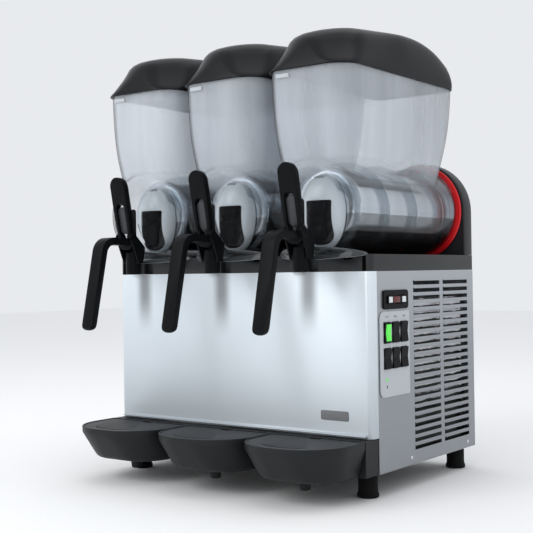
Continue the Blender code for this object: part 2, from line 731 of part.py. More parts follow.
def slot_cutter():
    """Oval slot through the paddle, around the piston's stem."""
    outline = rounded_box(-SLOT_HALF, SLOT_HALF, 0.4572, 0.5320, (SLOT_HALF - 0.0006,) * 4, 4)
    return loft([[(x, y, z) for x, z in outline] for y in (-0.33, -0.24)])


def handle_profile():
    """Side outline (y, z) of the hanging handle, with a round bend and tip."""
    bend = (-0.3280, 0.4350)
    upper = arc(bend, 0.0330, 90, 172, 6)
    lower = arc(bend, 0.0190, 172, 90, 6)
    tip_front = (-0.3905, 0.3020)
    tip_back = (-0.3770, 0.2990)
    tip_middle = ((tip_front[0] + tip_back[0]) / 2, (tip_front[1] + tip_back[1]) / 2)
    tip = arc(tip_middle, dist(tip_front, tip_back) / 2, 192, 372, 6)
    return [(-0.2830, 0.4670)] + upper + tip + lower + [(-0.2830, 0.4530)]


# ---------------------------------------------------------------- drip tray
def tray_ring(half_width, front, corner, z, grow=0.0):
    outline = rounded_box(-half_width - grow, half_width + grow, front - grow, TRAY_REAR + grow,
                          (corner + grow, corner + grow, 0.003, 0.003), TRAY_STEPS)
    return ring_at(outline, z)


def make_drip_tray(helpers):
    """Tapered basin with a D-shaped front, a step for the grid and a drain stub."""
    outer = loft([tray_ring(w, front, corner, z) for z, w, front, corner in TRAY_LEVELS])
    basin_levels = [(TRAY_RIM_Z + 0.01, *TRAY_LEVELS[0][1:]), *TRAY_LEVELS[1:-1],
                    (PANEL_BOTTOM + WALL, 0.0835, -0.3170, 0.0570)]
    basin = loft([tray_ring(w, front, corner, z, -2 * WALL) for z, w, front, corner in basin_levels])
    pocket = loft([tray_ring(*TRAY_LEVELS[0][1:], z, -WALL) for z in (0.1015, TRAY_RIM_Z + 0.01)])
    tray = combine(outer, [basin, pocket], "DIFFERENCE", helpers)
    stub = cylinder((0, TRAY_CENTRE_Y, PANEL_BOTTOM - 0.008), 0.010, 0.020, "Z", 16, 0.016)
    return combine(tray, [stub], "UNION", helpers)


def make_drip_grid(helpers):
    """Cover plate with a crescent opening at the front and a notch at the rear."""
    inset = -WALL - GAP
    plate = loft([tray_ring(*TRAY_LEVELS[0][1:], z, inset) for z in (0.1018, 0.1048)])
    crescent = arc((0, TRAY_CENTRE_Y), 0.0800, 222, 318, 8)
    crescent += arc((0, TRAY_CENTRE_Y + 0.030), 0.0860, 308, 232, 8)
    opening = extrude_outline(crescent, 0.09, 0.12, "Z")
    notch = box((-0.012, TRAY_REAR - 0.012, 0.09), (0.012, TRAY_REAR + 0.002, 0.12))
    return combine(plate, [opening, notch], "DIFFERENCE", helpers)


# ---------------------------------------------------------------- controls
def make_main_switch_bezel(helpers):
    """Black frame on the side panel, with its body passing through the sheet."""
    x0 = HALF + GAP
    face = extrude_outline(rounded_box(*MAIN_Y, *MAIN_Z, (0.006,) * 4, 3), x0, x0 + 0.003, "X")
    body = box((HALF - 0.012, MAIN_Y[0] + 0.0055, MAIN_Z[0] + 0.0055),
               (x0 + 0.001, MAIN_Y[1] - 0.0055, MAIN_Z[1] - 0.0055))
    bezel = combine(face, [body], "UNION", helpers)
    y = sum(MAIN_Y) / 2
    z = sum(MAIN_Z) / 2
    room = 0.0008
    window = box((HALF - 0.02, y - MAIN_ROCKER[0] / 2 - room, z - MAIN_ROCKER[1] / 2 - room),
                 (HALF + 0.02, y + MAIN_ROCKER[0] / 2 + room, z + MAIN_ROCKER[1] / 2 + room))
    return combine(bezel, [window], "DIFFERENCE", helpers)


def rocker(width, height, across):
    """Rocker with a shallow hollow face; it tips about the line through its middle."""
    half = height / 2
    face = 0.0050
    back = -0.0060
    outline = [(back, -half * 0.8), (back, half * 0.8), (face, half), (face - 0.0020, 0.0), (face, -half)]
    if across == "Y":
        return loft([[(x, y, z) for x, z in outline] for y in (-width / 2, width / 2)])
    return loft([[(x, y, z) for x, y in outline] for z in (-width / 2, width / 2)])


def make_control_plate(helpers):
    """Plate on the side panel with six windows for the rockers."""
    x0 = HALF + GAP
    outline = rounded_box(*PLATE_Y, *PLATE_Z, (0.012, 0.003, 0.003, 0.012), 3)
    plate = extrude_outline(outline, x0, x0 + 0.0018, "X")
    room = 0.0007
    windows = []
    for y in ROCKER_COLUMNS:
        for z in ROCKER_ROWS:
            windows.append(box((x0 - 0.01, y - ROCKER_SIZE[0] / 2 - room, z - ROCKER_SIZE[1] / 2 - room),
                               (x0 + 0.01, y + ROCKER_SIZE[0] / 2 + room, z + ROCKER_SIZE[1] / 2 + room)))
    return combine(plate, [joined_boxes(windows)], "DIFFERENCE", helpers)


# ---------------------------------------------------------------- assembly
def pivot_object(name, mesh, pivot, collection, spec, parent=None):
    """Object whose origin is on its joint; the mesh is given in world coordinates."""
    moved = mesh.copy()
    moved.transform(Matrix.Translation(-Vector(pivot)))
    return add_object(name, smooth(moved), collection, spec, pivot, parent)


def build_cabinet(parts, helpers):
    add_object("chassis_base", make_chassis_base(helpers), parts, GREY_PAINT)
    add_object("front_panel", make_front_panel(helpers), parts, STEEL)
    add_object("side_panel_right", make_side_panel(1, True, helpers), parts, STEEL)
    add_object("side_panel_left", make_side_panel(-1, False, helpers), parts, STEEL)
    add_object("rear_panel", make_rear_panel(helpers), parts, STEEL)
    add_object("deck", make_deck(helpers), parts, CHARCOAL)
    add_object("rear_housing", smooth(make_rear_housing(helpers)), parts, CHARCOAL)
    add_object("compressor", smooth(make_compressor(helpers)), parts, BLACK)
    add_object("condenser", make_condenser(helpers), parts, ALUMINIUM)
    add_object("fan_shroud", smooth(make_fan_shroud(helpers)), parts, GREY_PAINT)
    pivot_object("fan_blades", make_fan_blades(helpers), fan_hub(), parts, BLACK)
    inset = 0.030
    for side, x in (("left", -HALF + inset), ("right", HALF - inset)):
        for end, y in (("front", FRONT + inset), ("rear", REAR - inset)):
            add_object(f"foot_{end}_{side}", smooth(make_foot(x, y)), parts, RUBBER)


def build_controls(parts, helpers):
    add_object("main_switch_bezel", smooth(make_main_switch_bezel(helpers)), parts, BLACK)
    add_object("control_plate", smooth(make_control_plate(helpers)), parts, SILVER)
    y = sum(MAIN_Y) / 2
    z = sum(MAIN_Z) / 2
    add_object("main_switch_rocker", rocker(MAIN_ROCKER[1], MAIN_ROCKER[0], "Z"), parts, WHITE,
               (HALF + GAP, y, z))
    shape = rocker(*ROCKER_SIZE, "Y")
    for row, z in zip(("upper", "lower"), ROCKER_ROWS):
        for bay, y in zip(BAYS, ROCKER_COLUMNS):
            spec = GREEN if (row, bay) == ("upper", "left") else BLACK
            add_object(f"rocker_{row}_{bay}", shape.copy(), parts, spec, (HALF + GAP, y, z))


def build_bays(parts, helpers):
    """One cooling drum, drive, auger, bowl, tap, lid and tray for each bay."""
    shapes = {
        "gearmotor": make_gearmotor(0.0, helpers),
        "auger": smooth(make_auger(helpers)),
        "bowl": smooth(make_bowl(helpers), 25),
        "lid": smooth(make_lid(helpers), 25),
        "tap_body": smooth(make_tap_body(helpers)),
        "tap_piston": smooth(make_tap_piston(helpers)),
        "tap_lever": make_tap_lever(helpers),
        "drip_tray": smooth(make_drip_tray(helpers), 25),
        "drip_grid": make_drip_grid(helpers),
        "evaporator": smooth(make_evaporator(0.0)),
        "bowl_seal": smooth(make_bowl_seal(0.0)),
        "drive_shaft": smooth(make_drive_shaft(0.0)),
    }
    fixed = (("evaporator", BRIGHT), ("bowl_seal", SILICONE), ("gearmotor", GREY_PAINT))
    for bay, x in BAYS.items():
        for kind, spec in fixed:
            add_object(f"{kind}_{bay}", shapes[kind], parts, spec, (x, 0, 0))
        drive = empty(f"drive_axis_{bay}", (x, 0, DRUM_Z), parts)
        add_object(f"auger_{bay}", shapes["auger"], parts, WHITE, (x, 0, 0), drive)
        add_object(f"drive_shaft_{bay}", shapes["drive_shaft"], parts, BLACK, (x, 0, 0), drive)
        bowl = add_object(f"bowl_{bay}", shapes["bowl"], parts, CLEAR, (x, 0, 0))
        add_object(f"tap_body_{bay}", shapes["tap_body"], parts, BLACK, (x, 0, 0), bowl)
        add_object(f"lid_{bay}", shapes["lid"], parts, BLACK, (x, 0, 0), bowl)
        add_object(f"tap_piston_{bay}", shapes["tap_piston"], parts, CHARCOAL, (x, 0, 0), bowl)
        hinge = empty(f"lever_axis_{bay}", (x, *PIVOT), parts)
        add_object(f"tap_lever_{bay}", shapes["tap_lever"], parts, BLACK, (x, 0, 0), hinge)
        tray = add_object(f"drip_tray_{bay}", shapes["drip_tray"], parts, CHARCOAL, (x, 0, 0))
        add_object(f"drip_grid_{bay}", shapes["drip_grid"], parts, CHARCOAL, (x, 0, 0), tray)


def empty(name, location, collection):
    made = bpy.data.objects.new(name, None)
    made.location = location
    collection.objects.link(made)
    return made


def centre_on_origin(parts):
    """Parents everything to one empty that puts the box's base centre on the origin."""
    bpy.context.view_layer.update()
    meshes = [obj for obj in parts.objects if obj.type == "MESH"]
    corners = [obj.matrix_world @ Vector(corner) for obj in meshes for corner in obj.bound_box]
    middle = [(min(c[i] for c in corners) + max(c[i] for c in corners)) / 2 for i in (0, 1)]
    top_level = [obj for obj in parts.objects if obj.parent is None]
    machine = empty("machine", (0, 0, 0), parts)
    for obj in top_level:
        obj.parent = machine
    machine.location = (-middle[0], -middle[1], 0)


def main():
    clear_scene()
    parts = make_collection("slush_machine")
    helpers = make_collection("cutters")
    build_cabinet(parts, helpers)
    build_controls(parts, helpers)
    build_bays(parts, helpers)
    centre_on_origin(parts)


main()
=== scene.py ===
"""Looks of a three-bowl slush machine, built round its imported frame.

Everything is in metres in the frame's own axes: +X right, -Y serving side, +Z up.
Sizes come from the frame's boxes; each bay's pieces are built once and repeated.
"""

import json
from math import cos, hypot, pi, radians, sin, tau

import bmesh
import bpy
from mathutils import Matrix, Vector

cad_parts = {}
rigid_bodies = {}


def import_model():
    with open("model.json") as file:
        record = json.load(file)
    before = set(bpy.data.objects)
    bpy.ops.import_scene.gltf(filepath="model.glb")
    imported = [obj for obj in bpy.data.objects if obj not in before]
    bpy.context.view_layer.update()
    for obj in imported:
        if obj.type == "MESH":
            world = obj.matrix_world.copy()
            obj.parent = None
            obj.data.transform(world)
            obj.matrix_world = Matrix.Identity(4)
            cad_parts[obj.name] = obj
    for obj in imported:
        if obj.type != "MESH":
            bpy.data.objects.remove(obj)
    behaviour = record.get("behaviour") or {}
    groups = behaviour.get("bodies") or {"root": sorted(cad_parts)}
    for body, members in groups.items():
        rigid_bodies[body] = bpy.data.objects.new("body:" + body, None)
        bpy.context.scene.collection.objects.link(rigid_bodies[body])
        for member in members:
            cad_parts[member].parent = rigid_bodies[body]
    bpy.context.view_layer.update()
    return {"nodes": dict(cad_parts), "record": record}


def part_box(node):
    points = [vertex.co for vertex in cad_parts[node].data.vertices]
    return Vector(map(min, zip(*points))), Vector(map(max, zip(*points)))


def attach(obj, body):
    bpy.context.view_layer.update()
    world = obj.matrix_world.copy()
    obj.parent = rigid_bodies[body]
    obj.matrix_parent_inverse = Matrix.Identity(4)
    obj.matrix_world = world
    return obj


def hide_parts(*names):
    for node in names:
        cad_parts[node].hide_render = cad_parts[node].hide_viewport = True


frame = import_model()

# Shapes are drawn round the middle of the four feet, and put in place by this offset.
FEET = [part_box(f"foot_{end}_{side}") for end in ("front", "rear") for side in ("left", "right")]
PLACE = Vector((sum(lo[0] + hi[0] for lo, hi in FEET) / 8, sum(lo[1] + hi[1] for lo, hi in FEET) / 8, 0))


def local_box(node):
    """A node's corners measured from the middle of the feet."""
    lo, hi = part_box(node)
    return Vector(lo) - PLACE, Vector(hi) - PLACE


# ---- sizes from the frame
BAYS = {bay: sum(corner[0] for corner in local_box(f"evaporator_{bay}")) / 2
        for bay in ("left", "centre", "right")}
PITCH = BAYS["centre"] - BAYS["left"]
DRUM_Z = sum(corner[2] for corner in local_box("evaporator_centre")) / 2
HALF = local_box("side_panel_right")[1][0]
REAR = local_box("rear_panel")[1][1]
FRONT = -REAR
CABINET_TOP = local_box("front_panel")[1][2]
CABINET_BOTTOM = local_box("side_panel_right")[0][2]
HOUSING_FRONT = local_box("rear_housing")[0][1]
DECK_TOP = local_box("rear_housing")[0][2] - 0.0004
RIM_Z = local_box("bowl_centre")[1][2]
BOWL_FRONT = local_box("bowl_centre")[0][1]
MOUTH_Y = local_box("bowl_centre")[1][1]
LID_LO, LID_HI = local_box("lid_centre")
TRAY_REAR = local_box("drip_tray_centre")[1][1]
PLATE_HI = local_box("control_plate")[1]
PIVOT = next(Vector(joint["pos_m"]) - PLACE for joint in frame["record"]["behaviour"]["joints"]
             if joint["name"] == "lever_pull_centre")

TROUGH_RADIUS = 0.088
TROUGH_FRONT = -0.245
DRUM_RADIUS = 0.07
BOWL_WALL = 0.003
NOSE_Z = DRUM_Z - 0.012      # middle of the auger's egg-shaped nose
NOSE_BACK = -0.188


# ---- node-based materials
def fill_inputs(tree, node, inputs):
    """Sets a node's inputs, each to a value or to another node's output."""
    for key, value in inputs.items():
        if isinstance(value, bpy.types.NodeSocket):
            tree.links.new(value, node.inputs[key])
        else:
            node.inputs[key].default_value = value


def add_node(tree, kind, inputs, **settings):
    """New shader node with its settings and inputs."""
    node = tree.nodes.new("ShaderNode" + kind)
    for key, value in settings.items():
        setattr(node, key, value)
    fill_inputs(tree, node, inputs)
    return node


def new_material(name):
    """New material, with its node tree and its shader."""
    made = bpy.data.materials.new(name)
    made.use_nodes = True
    return made, made.node_tree, made.node_tree.nodes["Principled BSDF"]


def place_of(tree):
    """Place of the shaded point, in metres."""
    return add_node(tree, "TexCoord", {}).outputs["Object"]


def axes_of(tree):
    """X, Y and Z of the shaded point."""
    return add_node(tree, "SeparateXYZ", {"Vector": place_of(tree)}).outputs


def noise(tree, scale, detail=3.0, stretch=(1, 1, 1), roughness=0.5):
    """Noise in space, stretched along the given axes."""
    mapped = add_node(tree, "Mapping", {"Vector": place_of(tree), "Scale": stretch})
    inputs = {"Vector": mapped.outputs["Vector"], "Scale": scale, "Detail": detail, "Roughness": roughness}
    return add_node(tree, "TexNoise", inputs).outputs["Fac"]


def maths(tree, operation, first, second):
    """Two numbers combined."""
    return add_node(tree, "Math", {0: first, 1: second}, operation=operation).outputs["Value"]


def span(tree, value, start, end, curve="SMOOTHSTEP"):
    """Share of the way from start to end, between 0 and 1."""
    inputs = {"Value": value, "From Min": start, "From Max": end}
    return add_node(tree, "MapRange", inputs, interpolation_type=curve).outputs["Result"]


def ramp(tree, share, low, high):
    """Number or colour at a share of the way from low to high."""
    if isinstance(low, (int, float)):
        return add_node(tree, "Mix", {0: share, 2: low, 3: high}, data_type="FLOAT").outputs[0]
    return add_node(tree, "Mix", {0: share, 6: (*low, 1), 7: (*high, 1)}, data_type="RGBA").outputs[2]


def multiplied(tree, first, second):
    """Product of two colours."""
    inputs = {0: 1.0, 6: first, 7: second}
    return add_node(tree, "Mix", inputs, data_type="RGBA", blend_type="MULTIPLY").outputs[2]


def height_ramp(tree, stops):
    """Shade of grey by height above the floor; stops hold (height, shade)."""
    low, high = stops[0][0], stops[-1][0]
    shades = add_node(tree, "ValToRGB", {"Fac": span(tree, axes_of(tree)["Z"], low, high, "LINEAR")})
    points = shades.color_ramp.elements
    while len(points) < len(stops):
        points.new(0.5)
    for point, (height, shade) in zip(points, stops):
        point.position = (height - low) / (high - low)
        point.color = (shade, shade, shade, 1)
    return shades.outputs["Color"]


def bump(tree, shader, height, strength):
    """Fine relief on the surface."""
    relief = add_node(tree, "Bump", {"Height": height, "Strength": strength, "Distance": 0.0002})
    fill_inputs(tree, shader, {"Normal": relief.outputs["Normal"]})


def shaded(colour, factor):
    """The colour made darker or lighter."""
    return tuple(min(1, c * factor) for c in colour)


def plastic(name, colour, roughness, relief=0.05, grain=1500, spread=0.12, shine=0.3, coat=0.0):
    """Moulded plastic: slight colour and sheen variation with a fine surface grain."""
    made, tree, shader = new_material(name)
    slow = noise(tree, 9, 4)
    fill_inputs(tree, shader, {
        "Base Color": ramp(tree, slow, shaded(colour, 1 - spread), shaded(colour, 1 + spread)),
        "Roughness": ramp(tree, slow, roughness * 0.88, min(1.0, roughness * 1.12)),
        "Specular IOR Level": shine,
        "Coat Weight": coat,
        "Coat Roughness": 0.12,
    })
    if relief:
        bump(tree, shader, noise(tree, grain, 2), relief)
    return made


def brushed_steel(name, colour, roughness, stretch, metallic=0.9, relief=0.1, shades=None, smear=0.0):
    """Steel with fine lines along one axis; smear stretches reflections up and down and adds painted tap
    reflections; shades paint shade and light by height into the colour.
    """
    made, tree, shader = new_material(name)
    lines = noise(tree, 260, 4, stretch, 0.7)
    tint = ramp(tree, noise(tree, 3.2, 3), shaded(colour, 0.95), shaded(colour, 1.04))
    # painted shade: shades darken or lighten the colour by height
    if shades:
        tint = multiplied(tree, tint, height_ramp(tree, shades))
    # painted reflection: dark streaks below the taps are painted into the colour
    if smear:
        tint = multiplied(tree, tint, painted_tap_reflections(tree))
        along = add_node(tree, "Tangent", {}, direction_type="RADIAL", axis="Z")
        fill_inputs(tree, shader, {"Anisotropic": smear, "Anisotropic Rotation": 0.25,
                                   "Tangent": along.outputs["Tangent"]})
    fill_inputs(tree, shader, {"Base Color": tint, "Metallic": metallic,
                               "Roughness": ramp(tree, lines, roughness * 0.85, roughness * 1.2)})
    bump(tree, shader, lines, relief)
    return made


def painted_tap_reflections(tree):
    """Painted reflection: a soft dark streak painted below each tap, where the brushed sheet would mirror
    it; fades downwards.
    """
    axes = axes_of(tree)
    left_of_bay = 0.031
    shift = maths(tree, "SUBTRACT", axes["X"], BAYS["centre"] + PLACE.x - left_of_bay)
    away = maths(tree, "PINGPONG", shift, PITCH / 2)
    across = ramp(tree, span(tree, away, 0.003, 0.027), 0.62, 0.0)
    fade = span(tree, axes["Z"], CABINET_TOP - 0.125, CABINET_TOP - 0.035)
    return ramp(tree, maths(tree, "MULTIPLY", across, fade), (1.0, 1.0, 1.0), (0.0, 0.0, 0.0))


def clear_plastic(name, tint, edge_tint, body, edge, haze, haze_shape=None):
    """Clear wall: smokier and more reflective at a glancing angle, with haze shaped by height; on the blade
    rims that height-shaped haze is a painted glint.
    """
    made, tree, _ = new_material(name)
    tree.nodes.clear()
    facing = add_node(tree, "LayerWeight", {"Blend": 0.5})
    rim = span(tree, facing.outputs["Facing"], 0.45, 0.93)
    streaks = ramp(tree, noise(tree, 22, 2, (1, 1, 0.08)), (0.87, 0.88, 0.89), (1.0, 1.0, 1.0))
    amount = ramp(tree, noise(tree, 16, 3, (1, 1, 0.12)), haze * 0.55, haze * 1.45)
    if haze_shape:
        amount = maths(tree, "MULTIPLY", amount, height_ramp(tree, haze_shape))
    amount = maths(tree, "MULTIPLY", amount, ramp(tree, rim, 1.0, 0.15))
    seen_through = multiplied(tree, ramp(tree, rim, tint, edge_tint), streaks)
    through = add_node(tree, "BsdfTransparent", {"Color": seen_through})
    milk = add_node(tree, "BsdfDiffuse", {"Color": (0.88, 0.93, 0.99, 1)})
    gloss = add_node(tree, "BsdfGlossy", {"Roughness": ramp(tree, noise(tree, 14, 2), 0.03, 0.08)})
    hazy = add_node(tree, "MixShader", {0: amount, 1: through.outputs[0], 2: milk.outputs[0]})
    mirrored = ramp(tree, rim, body, edge)
    mix = add_node(tree, "MixShader", {0: mirrored, 1: hazy.outputs[0], 2: gloss.outputs[0]})
    add_node(tree, "OutputMaterial", {"Surface": mix.outputs[0]})
    return made


def condenser_fins():
    """Bright tube rows with painted shade in the dark gaps between them, and painted shade darkening them
    towards the bottom.
    """
    made, tree, shader = new_material("condenser_fins")
    inputs = {"Vector": place_of(tree), "Scale": 23, "Distortion": 2.2, "Detail": 3, "Detail Scale": 1.2}
    bands = add_node(tree, "TexWave", inputs, bands_direction="Z")
    # painted shade: the gaps between tube rows are near black, and the rows darken towards the bottom
    rows = span(tree, bands.outputs["Fac"], 0.35, 0.6, "LINEAR")
    upward = span(tree, axes_of(tree)["Z"], 0.11, 0.17, "LINEAR")
    light = ramp(tree, upward, (0.01, 0.01, 0.01), (0.85, 0.85, 0.88))
    tint = add_node(tree, "Mix", {0: rows, 6: (0.006, 0.006, 0.006, 1), 7: light}, data_type="RGBA")
    fill_inputs(tree, shader, {"Base Color": tint.outputs[2], "Metallic": 0.2, "Roughness": 0.5})
    return made


def lit(name, colour, strength):
    """Plastic lens with a lamp behind it, lit a little unevenly."""
    made, tree, shader = new_material(name)
    fill_inputs(tree, shader, {
        "Base Color": (*colour, 1),
        "Roughness": 0.25,
        "Emission Strength": strength,
        "Emission Color": ramp(tree, noise(tree, 40, 2), shaded(colour, 0.85), colour),
    })
    return made


def make_materials():
    """Every material of the machine, by its name."""
    top, low = CABINET_TOP, CABINET_BOTTOM
    middle = (top + low) / 2
    # painted shade: the front sheet's colour is made darker towards the bottom and lighter towards the top
    front_painted_shade = [(low, 0.64), (low + 0.09, 0.76), (middle, 0.95), (top, 1.13)]
    # painted shade and light: the side sheets are made darker low down and lighter near the top
    side_painted_shade = [(low, 0.86), (middle, 0.94), (top - 0.05, 1.18), (top, 1.26)]
    # painted reflection: the drum's colour is dark below its middle and nearly black at its bottom,
    # standing for the dark deck mirrored in the steel
    drum_low, drum_mid = DRUM_Z - 0.046, DRUM_Z - 0.015
    drum_painted_deck_reflection = [(drum_low - 0.002, 0.03), (drum_low, 0.42),
                   (drum_mid - 0.001, 0.46), (drum_mid + 0.001, 1.0)]
    bowl_haze = [(DRUM_Z + 0.03, 0.02), (DRUM_Z + 0.085, 1.0)]
    # painted highlight: a milky band near the axis height stands for glints on the blade edges
    rim_painted_glint = [(DRUM_Z - 0.03, 0.05), (DRUM_Z - 0.012, 1.0), (DRUM_Z + 0.022, 0.9), (DRUM_Z + 0.045, 0.05)]
    made = [
        brushed_steel("front_steel", (0.77, 0.835, 0.885), 0.44, (0.02, 1, 1), metallic=0.62,
                      relief=0.06, shades=front_painted_shade, smear=0.94),
        brushed_steel("side_steel", (0.36, 0.378, 0.402), 0.45, (1, 0.02, 1), shades=side_painted_shade),
        brushed_steel("drum_steel", (0.75, 0.79, 0.835), 0.22, (1, 0.05, 1), relief=0.03,
                      shades=drum_painted_deck_reflection),
        brushed_steel("screw_steel", (0.72, 0.73, 0.75), 0.25, (1, 1, 1), metallic=1.0, relief=0.02),
        plastic("grey_paint", (0.2, 0.205, 0.215), 0.5, relief=0.1),
        plastic("black_satin", (0.0055, 0.006, 0.007), 0.34, relief=0.06, grain=1800, shine=0.07),
        plastic("lid_black", (0.008, 0.0085, 0.0095), 0.3, grain=1800, shine=0.13),
        plastic("gloss_black", (0.003, 0.003, 0.004), 0.14, relief=0.0, spread=0.2, shine=0.07),
        plastic("charcoal", (0.011, 0.0118, 0.0132), 0.46, relief=0.16, shine=0.24),
        plastic("deck_grey", (0.024, 0.025, 0.0275), 0.42, relief=0.1, shine=0.28),
        # painted shade: near-black material for pieces that stand for shade in gaps and pockets
        plastic("recess_painted_shade", (0.002, 0.002, 0.002), 0.8, spread=0.1, shine=0.03),
        plastic("stem_grey", (0.045, 0.048, 0.052), 0.4, relief=0.1),
        plastic("lid_inside", (0.055, 0.058, 0.063), 0.5, relief=0.04),
        plastic("red_silicone", (0.66, 0.008, 0.012), 0.32),
        plastic("white_plastic", (0.74, 0.79, 0.82), 0.22, relief=0.04, spread=0.03, shine=0.5, coat=0.4),
        plastic("silver_plate", (0.5, 0.53, 0.56), 0.38, spread=0.03),
        plastic("symbol_ink", (0.08, 0.085, 0.09), 0.5, relief=0.03),
        plastic("rubber", (0.006, 0.006, 0.0065), 0.62, relief=0.2, shine=0.1),
        condenser_fins(),
        lit("green_lens", (0.07, 0.62, 0.05), 0.55),
        lit("red_lens", (0.1, 0.0015, 0.003), 0.08),
        clear_plastic("clear_wall", (0.985, 0.988, 0.99), (0.28, 0.265, 0.26), body=0.01, edge=0.24,
                      haze=0.28, haze_shape=bowl_haze),
        clear_plastic("blade_plastic", (0.82, 0.845, 0.86), (0.66, 0.69, 0.71), body=0.01, edge=0.05,
                      haze=0.05),
        clear_plastic("blade_rim_painted_glint", (0.85, 0.87, 0.89), (0.78, 0.8, 0.82), body=0.02, edge=0.1,
                      haze=0.75, haze_shape=rim_painted_glint),
        clear_plastic("clear_apron", (0.42, 0.46, 0.46), (0.24, 0.27, 0.27), body=0.1, edge=0.4,
                      haze=0.08),
    ]
    # Blender adds a number to a name that the frame's own materials already use.
    return {material.name.split(".")[0]: material for material in made}


# ---- mesh helpers
def link_new(name, data):
    """New object in the scene."""
    obj = bpy.data.objects.new(name, data)
    bpy.context.scene.collection.objects.link(obj)
    return obj


def add_piece(name, mesh, body, material, replaces=(), shade=35):
    """Puts a mesh in the scene as one piece riding on a body; edges over shade degrees stay sharp."""
    mesh.transform(Matrix.Translation(PLACE))
    mesh.materials.clear()
    mesh.materials.append(material)
    mesh.shade_smooth()
    mesh.set_sharp_from_angle(angle=radians(shade))
    obj = link_new(name, mesh)
    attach(obj, body)
    if replaces:
        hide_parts(*replaces)


def per_bay(kind, mesh, body, material, replaces=None, shade=35):
    """The same piece at every bay; body and replaces are patterns with {bay}."""
    for bay, x in BAYS.items():
        copy = mesh.copy()
        copy.transform(Matrix.Translation((x, 0, 0)))
        node = (replaces.format(bay=bay),) if replaces else ()
        add_piece(f"{kind}_{bay}", copy, body.format(bay=bay), material, node, shade)


def to_mesh(build):
    """Mesh from a function that fills a bmesh."""
    bm = bmesh.new()
    build(bm)
    bmesh.ops.recalc_face_normals(bm, faces=bm.faces)
    mesh = bpy.data.meshes.new("shape")
    bm.to_mesh(mesh)
    bm.free()
    return mesh


def skin(bm, loops):
    """Faces between each loop of vertices and the next one."""
    count = len(loops[0])
    for here, there in zip(loops, loops[1:]):
        for i in range(count):
            j = (i + 1) % count
            bm.faces.new((here[i], here[j], there[j], there[i]))


def new_loops(bm, rings):
    """Vertices at the points of each ring."""
    return [[bm.verts.new(point) for point in ring] for ring in rings]


def loft(rings):
    """Closed skin through rings of equally many points."""
    def build(bm):
        loops = new_loops(bm, rings)
        skin(bm, loops)
        bm.faces.new(loops[0])
        bm.faces.new(loops[-1])
    return to_mesh(build)


def prism(points, start, end, axis):
    """Prism of a flat outline given in the other two axes."""
    place = {"X": lambda p, t: (t, p[0], p[1]),
             "Y": lambda p, t: (p[0], t, p[1]),
             "Z": lambda p, t: (p[0], p[1], t)}[axis]
    return loft([[place(p, t) for p in points] for t in (start, end)])


def lathe(profile, centre, axis="Y", sides=64):
    """Turned shape; profile holds (radius, place along the axis), centre the other two axes."""
    def point(r, t, angle):
        a, b = centre[0] + r * cos(angle), centre[1] + r * sin(angle)
        return {"Y": (a, t, b), "Z": (a, b, t), "X": (t, a, b)}[axis]

    def build(bm):
        loops = new_loops(bm, [[point(r, t, tau * k / sides) for r, t in profile] for k in range(sides)])
        skin(bm, loops + loops[:1])
    return to_mesh(build)


def arc(centre, radius, start, end, steps):
    """Points of an arc in degrees, both ends included."""
    angles = [radians(start + (end - start) * k / steps) for k in range(steps + 1)]
    return [(centre[0] + radius * cos(a), centre[1] + radius * sin(a)) for a in angles]


def quarter_bend(radius, bend, front):
    """Points (radius, y) of a cylinder's rounded front edge."""
    return [(radius - bend + bend * sin(radians(a)), front + bend - bend * cos(radians(a)))
            for a in range(0, 91, 10)]


def rounded_box(x0, x1, y0, y1, radii, steps=8):
    """Rounded rectangle; radii for the (x0,y0), (x1,y0), (x1,y1), (x0,y1) corners."""
    a, b, c, d = radii
    return (arc((x0 + a, y0 + a), a, 180, 270, steps) + arc((x1 - b, y0 + b), b, 270, 360, steps)
            + arc((x1 - c, y1 - c), c, 0, 90, steps) + arc((x0 + d, y1 - d), d, 90, 180, steps))


def at_z(outline, z):
    """The flat outline placed at a height."""
    return [(x, y, z) for x, y in outline]


def block(lo, hi):
    """Box between two corners."""
    size = [b - a for a, b in zip(lo, hi)]
    middle = [(a + b) / 2 for a, b in zip(lo, hi)]
    matrix = Matrix.Translation(middle) @ Matrix.Diagonal((*size, 1.0))
    return to_mesh(lambda bm: bmesh.ops.create_cube(bm, size=1.0, matrix=matrix))


def cylinder_y(centre, radius, length, sides=48):
    """Closed cylinder along Y."""
    matrix = Matrix.Translation(centre) @ Matrix.Rotation(-pi / 2, 4, "X")
    return to_mesh(lambda bm: bmesh.ops.create_cone(bm, cap_ends=True, segments=sides, radius1=radius,
                                                    radius2=radius, depth=length, matrix=matrix))


def merged(meshes):
    """Several meshes as one mesh of separate shells."""
    def build(bm):
        for mesh in meshes:
            bm.from_mesh(mesh)
    return to_mesh(build)


def evaluated(obj):
    """The object's mesh with its modifiers applied; the object is removed."""
    bpy.context.view_layer.update()
    graph = bpy.context.evaluated_depsgraph_get()
    mesh = bpy.data.meshes.new_from_object(obj.evaluated_get(graph))
    bpy.data.objects.remove(obj, do_unlink=True)
    return mesh


def combine(operation, base, others):
    """Boolean of closed meshes, with the tiny faces it leaves cleaned up."""
    tiny = 0.00002
    target = link_new("combine", base)
    tools = [link_new("combine_tool", other) for other in others]
    for tool in tools:
        step = target.modifiers.new("combine", "BOOLEAN")
        step.operation = operation
        step.object = tool
    mesh = evaluated(target)
    for tool in tools:
        bpy.data.objects.remove(tool, do_unlink=True)
    bm = bmesh.new()
    bm.from_mesh(mesh)
    bmesh.ops.remove_doubles(bm, verts=bm.verts, dist=tiny)
    bmesh.ops.dissolve_degenerate(bm, edges=bm.edges, dist=tiny)
    bm.to_mesh(mesh)
    bm.free()
    return mesh


def cut(base, *others):
    """The base with the others taken out of it."""
    return combine("DIFFERENCE", base, others)


def joined(base, *others):
    """The base and the others as one solid."""
    return combine("UNION", base, others)


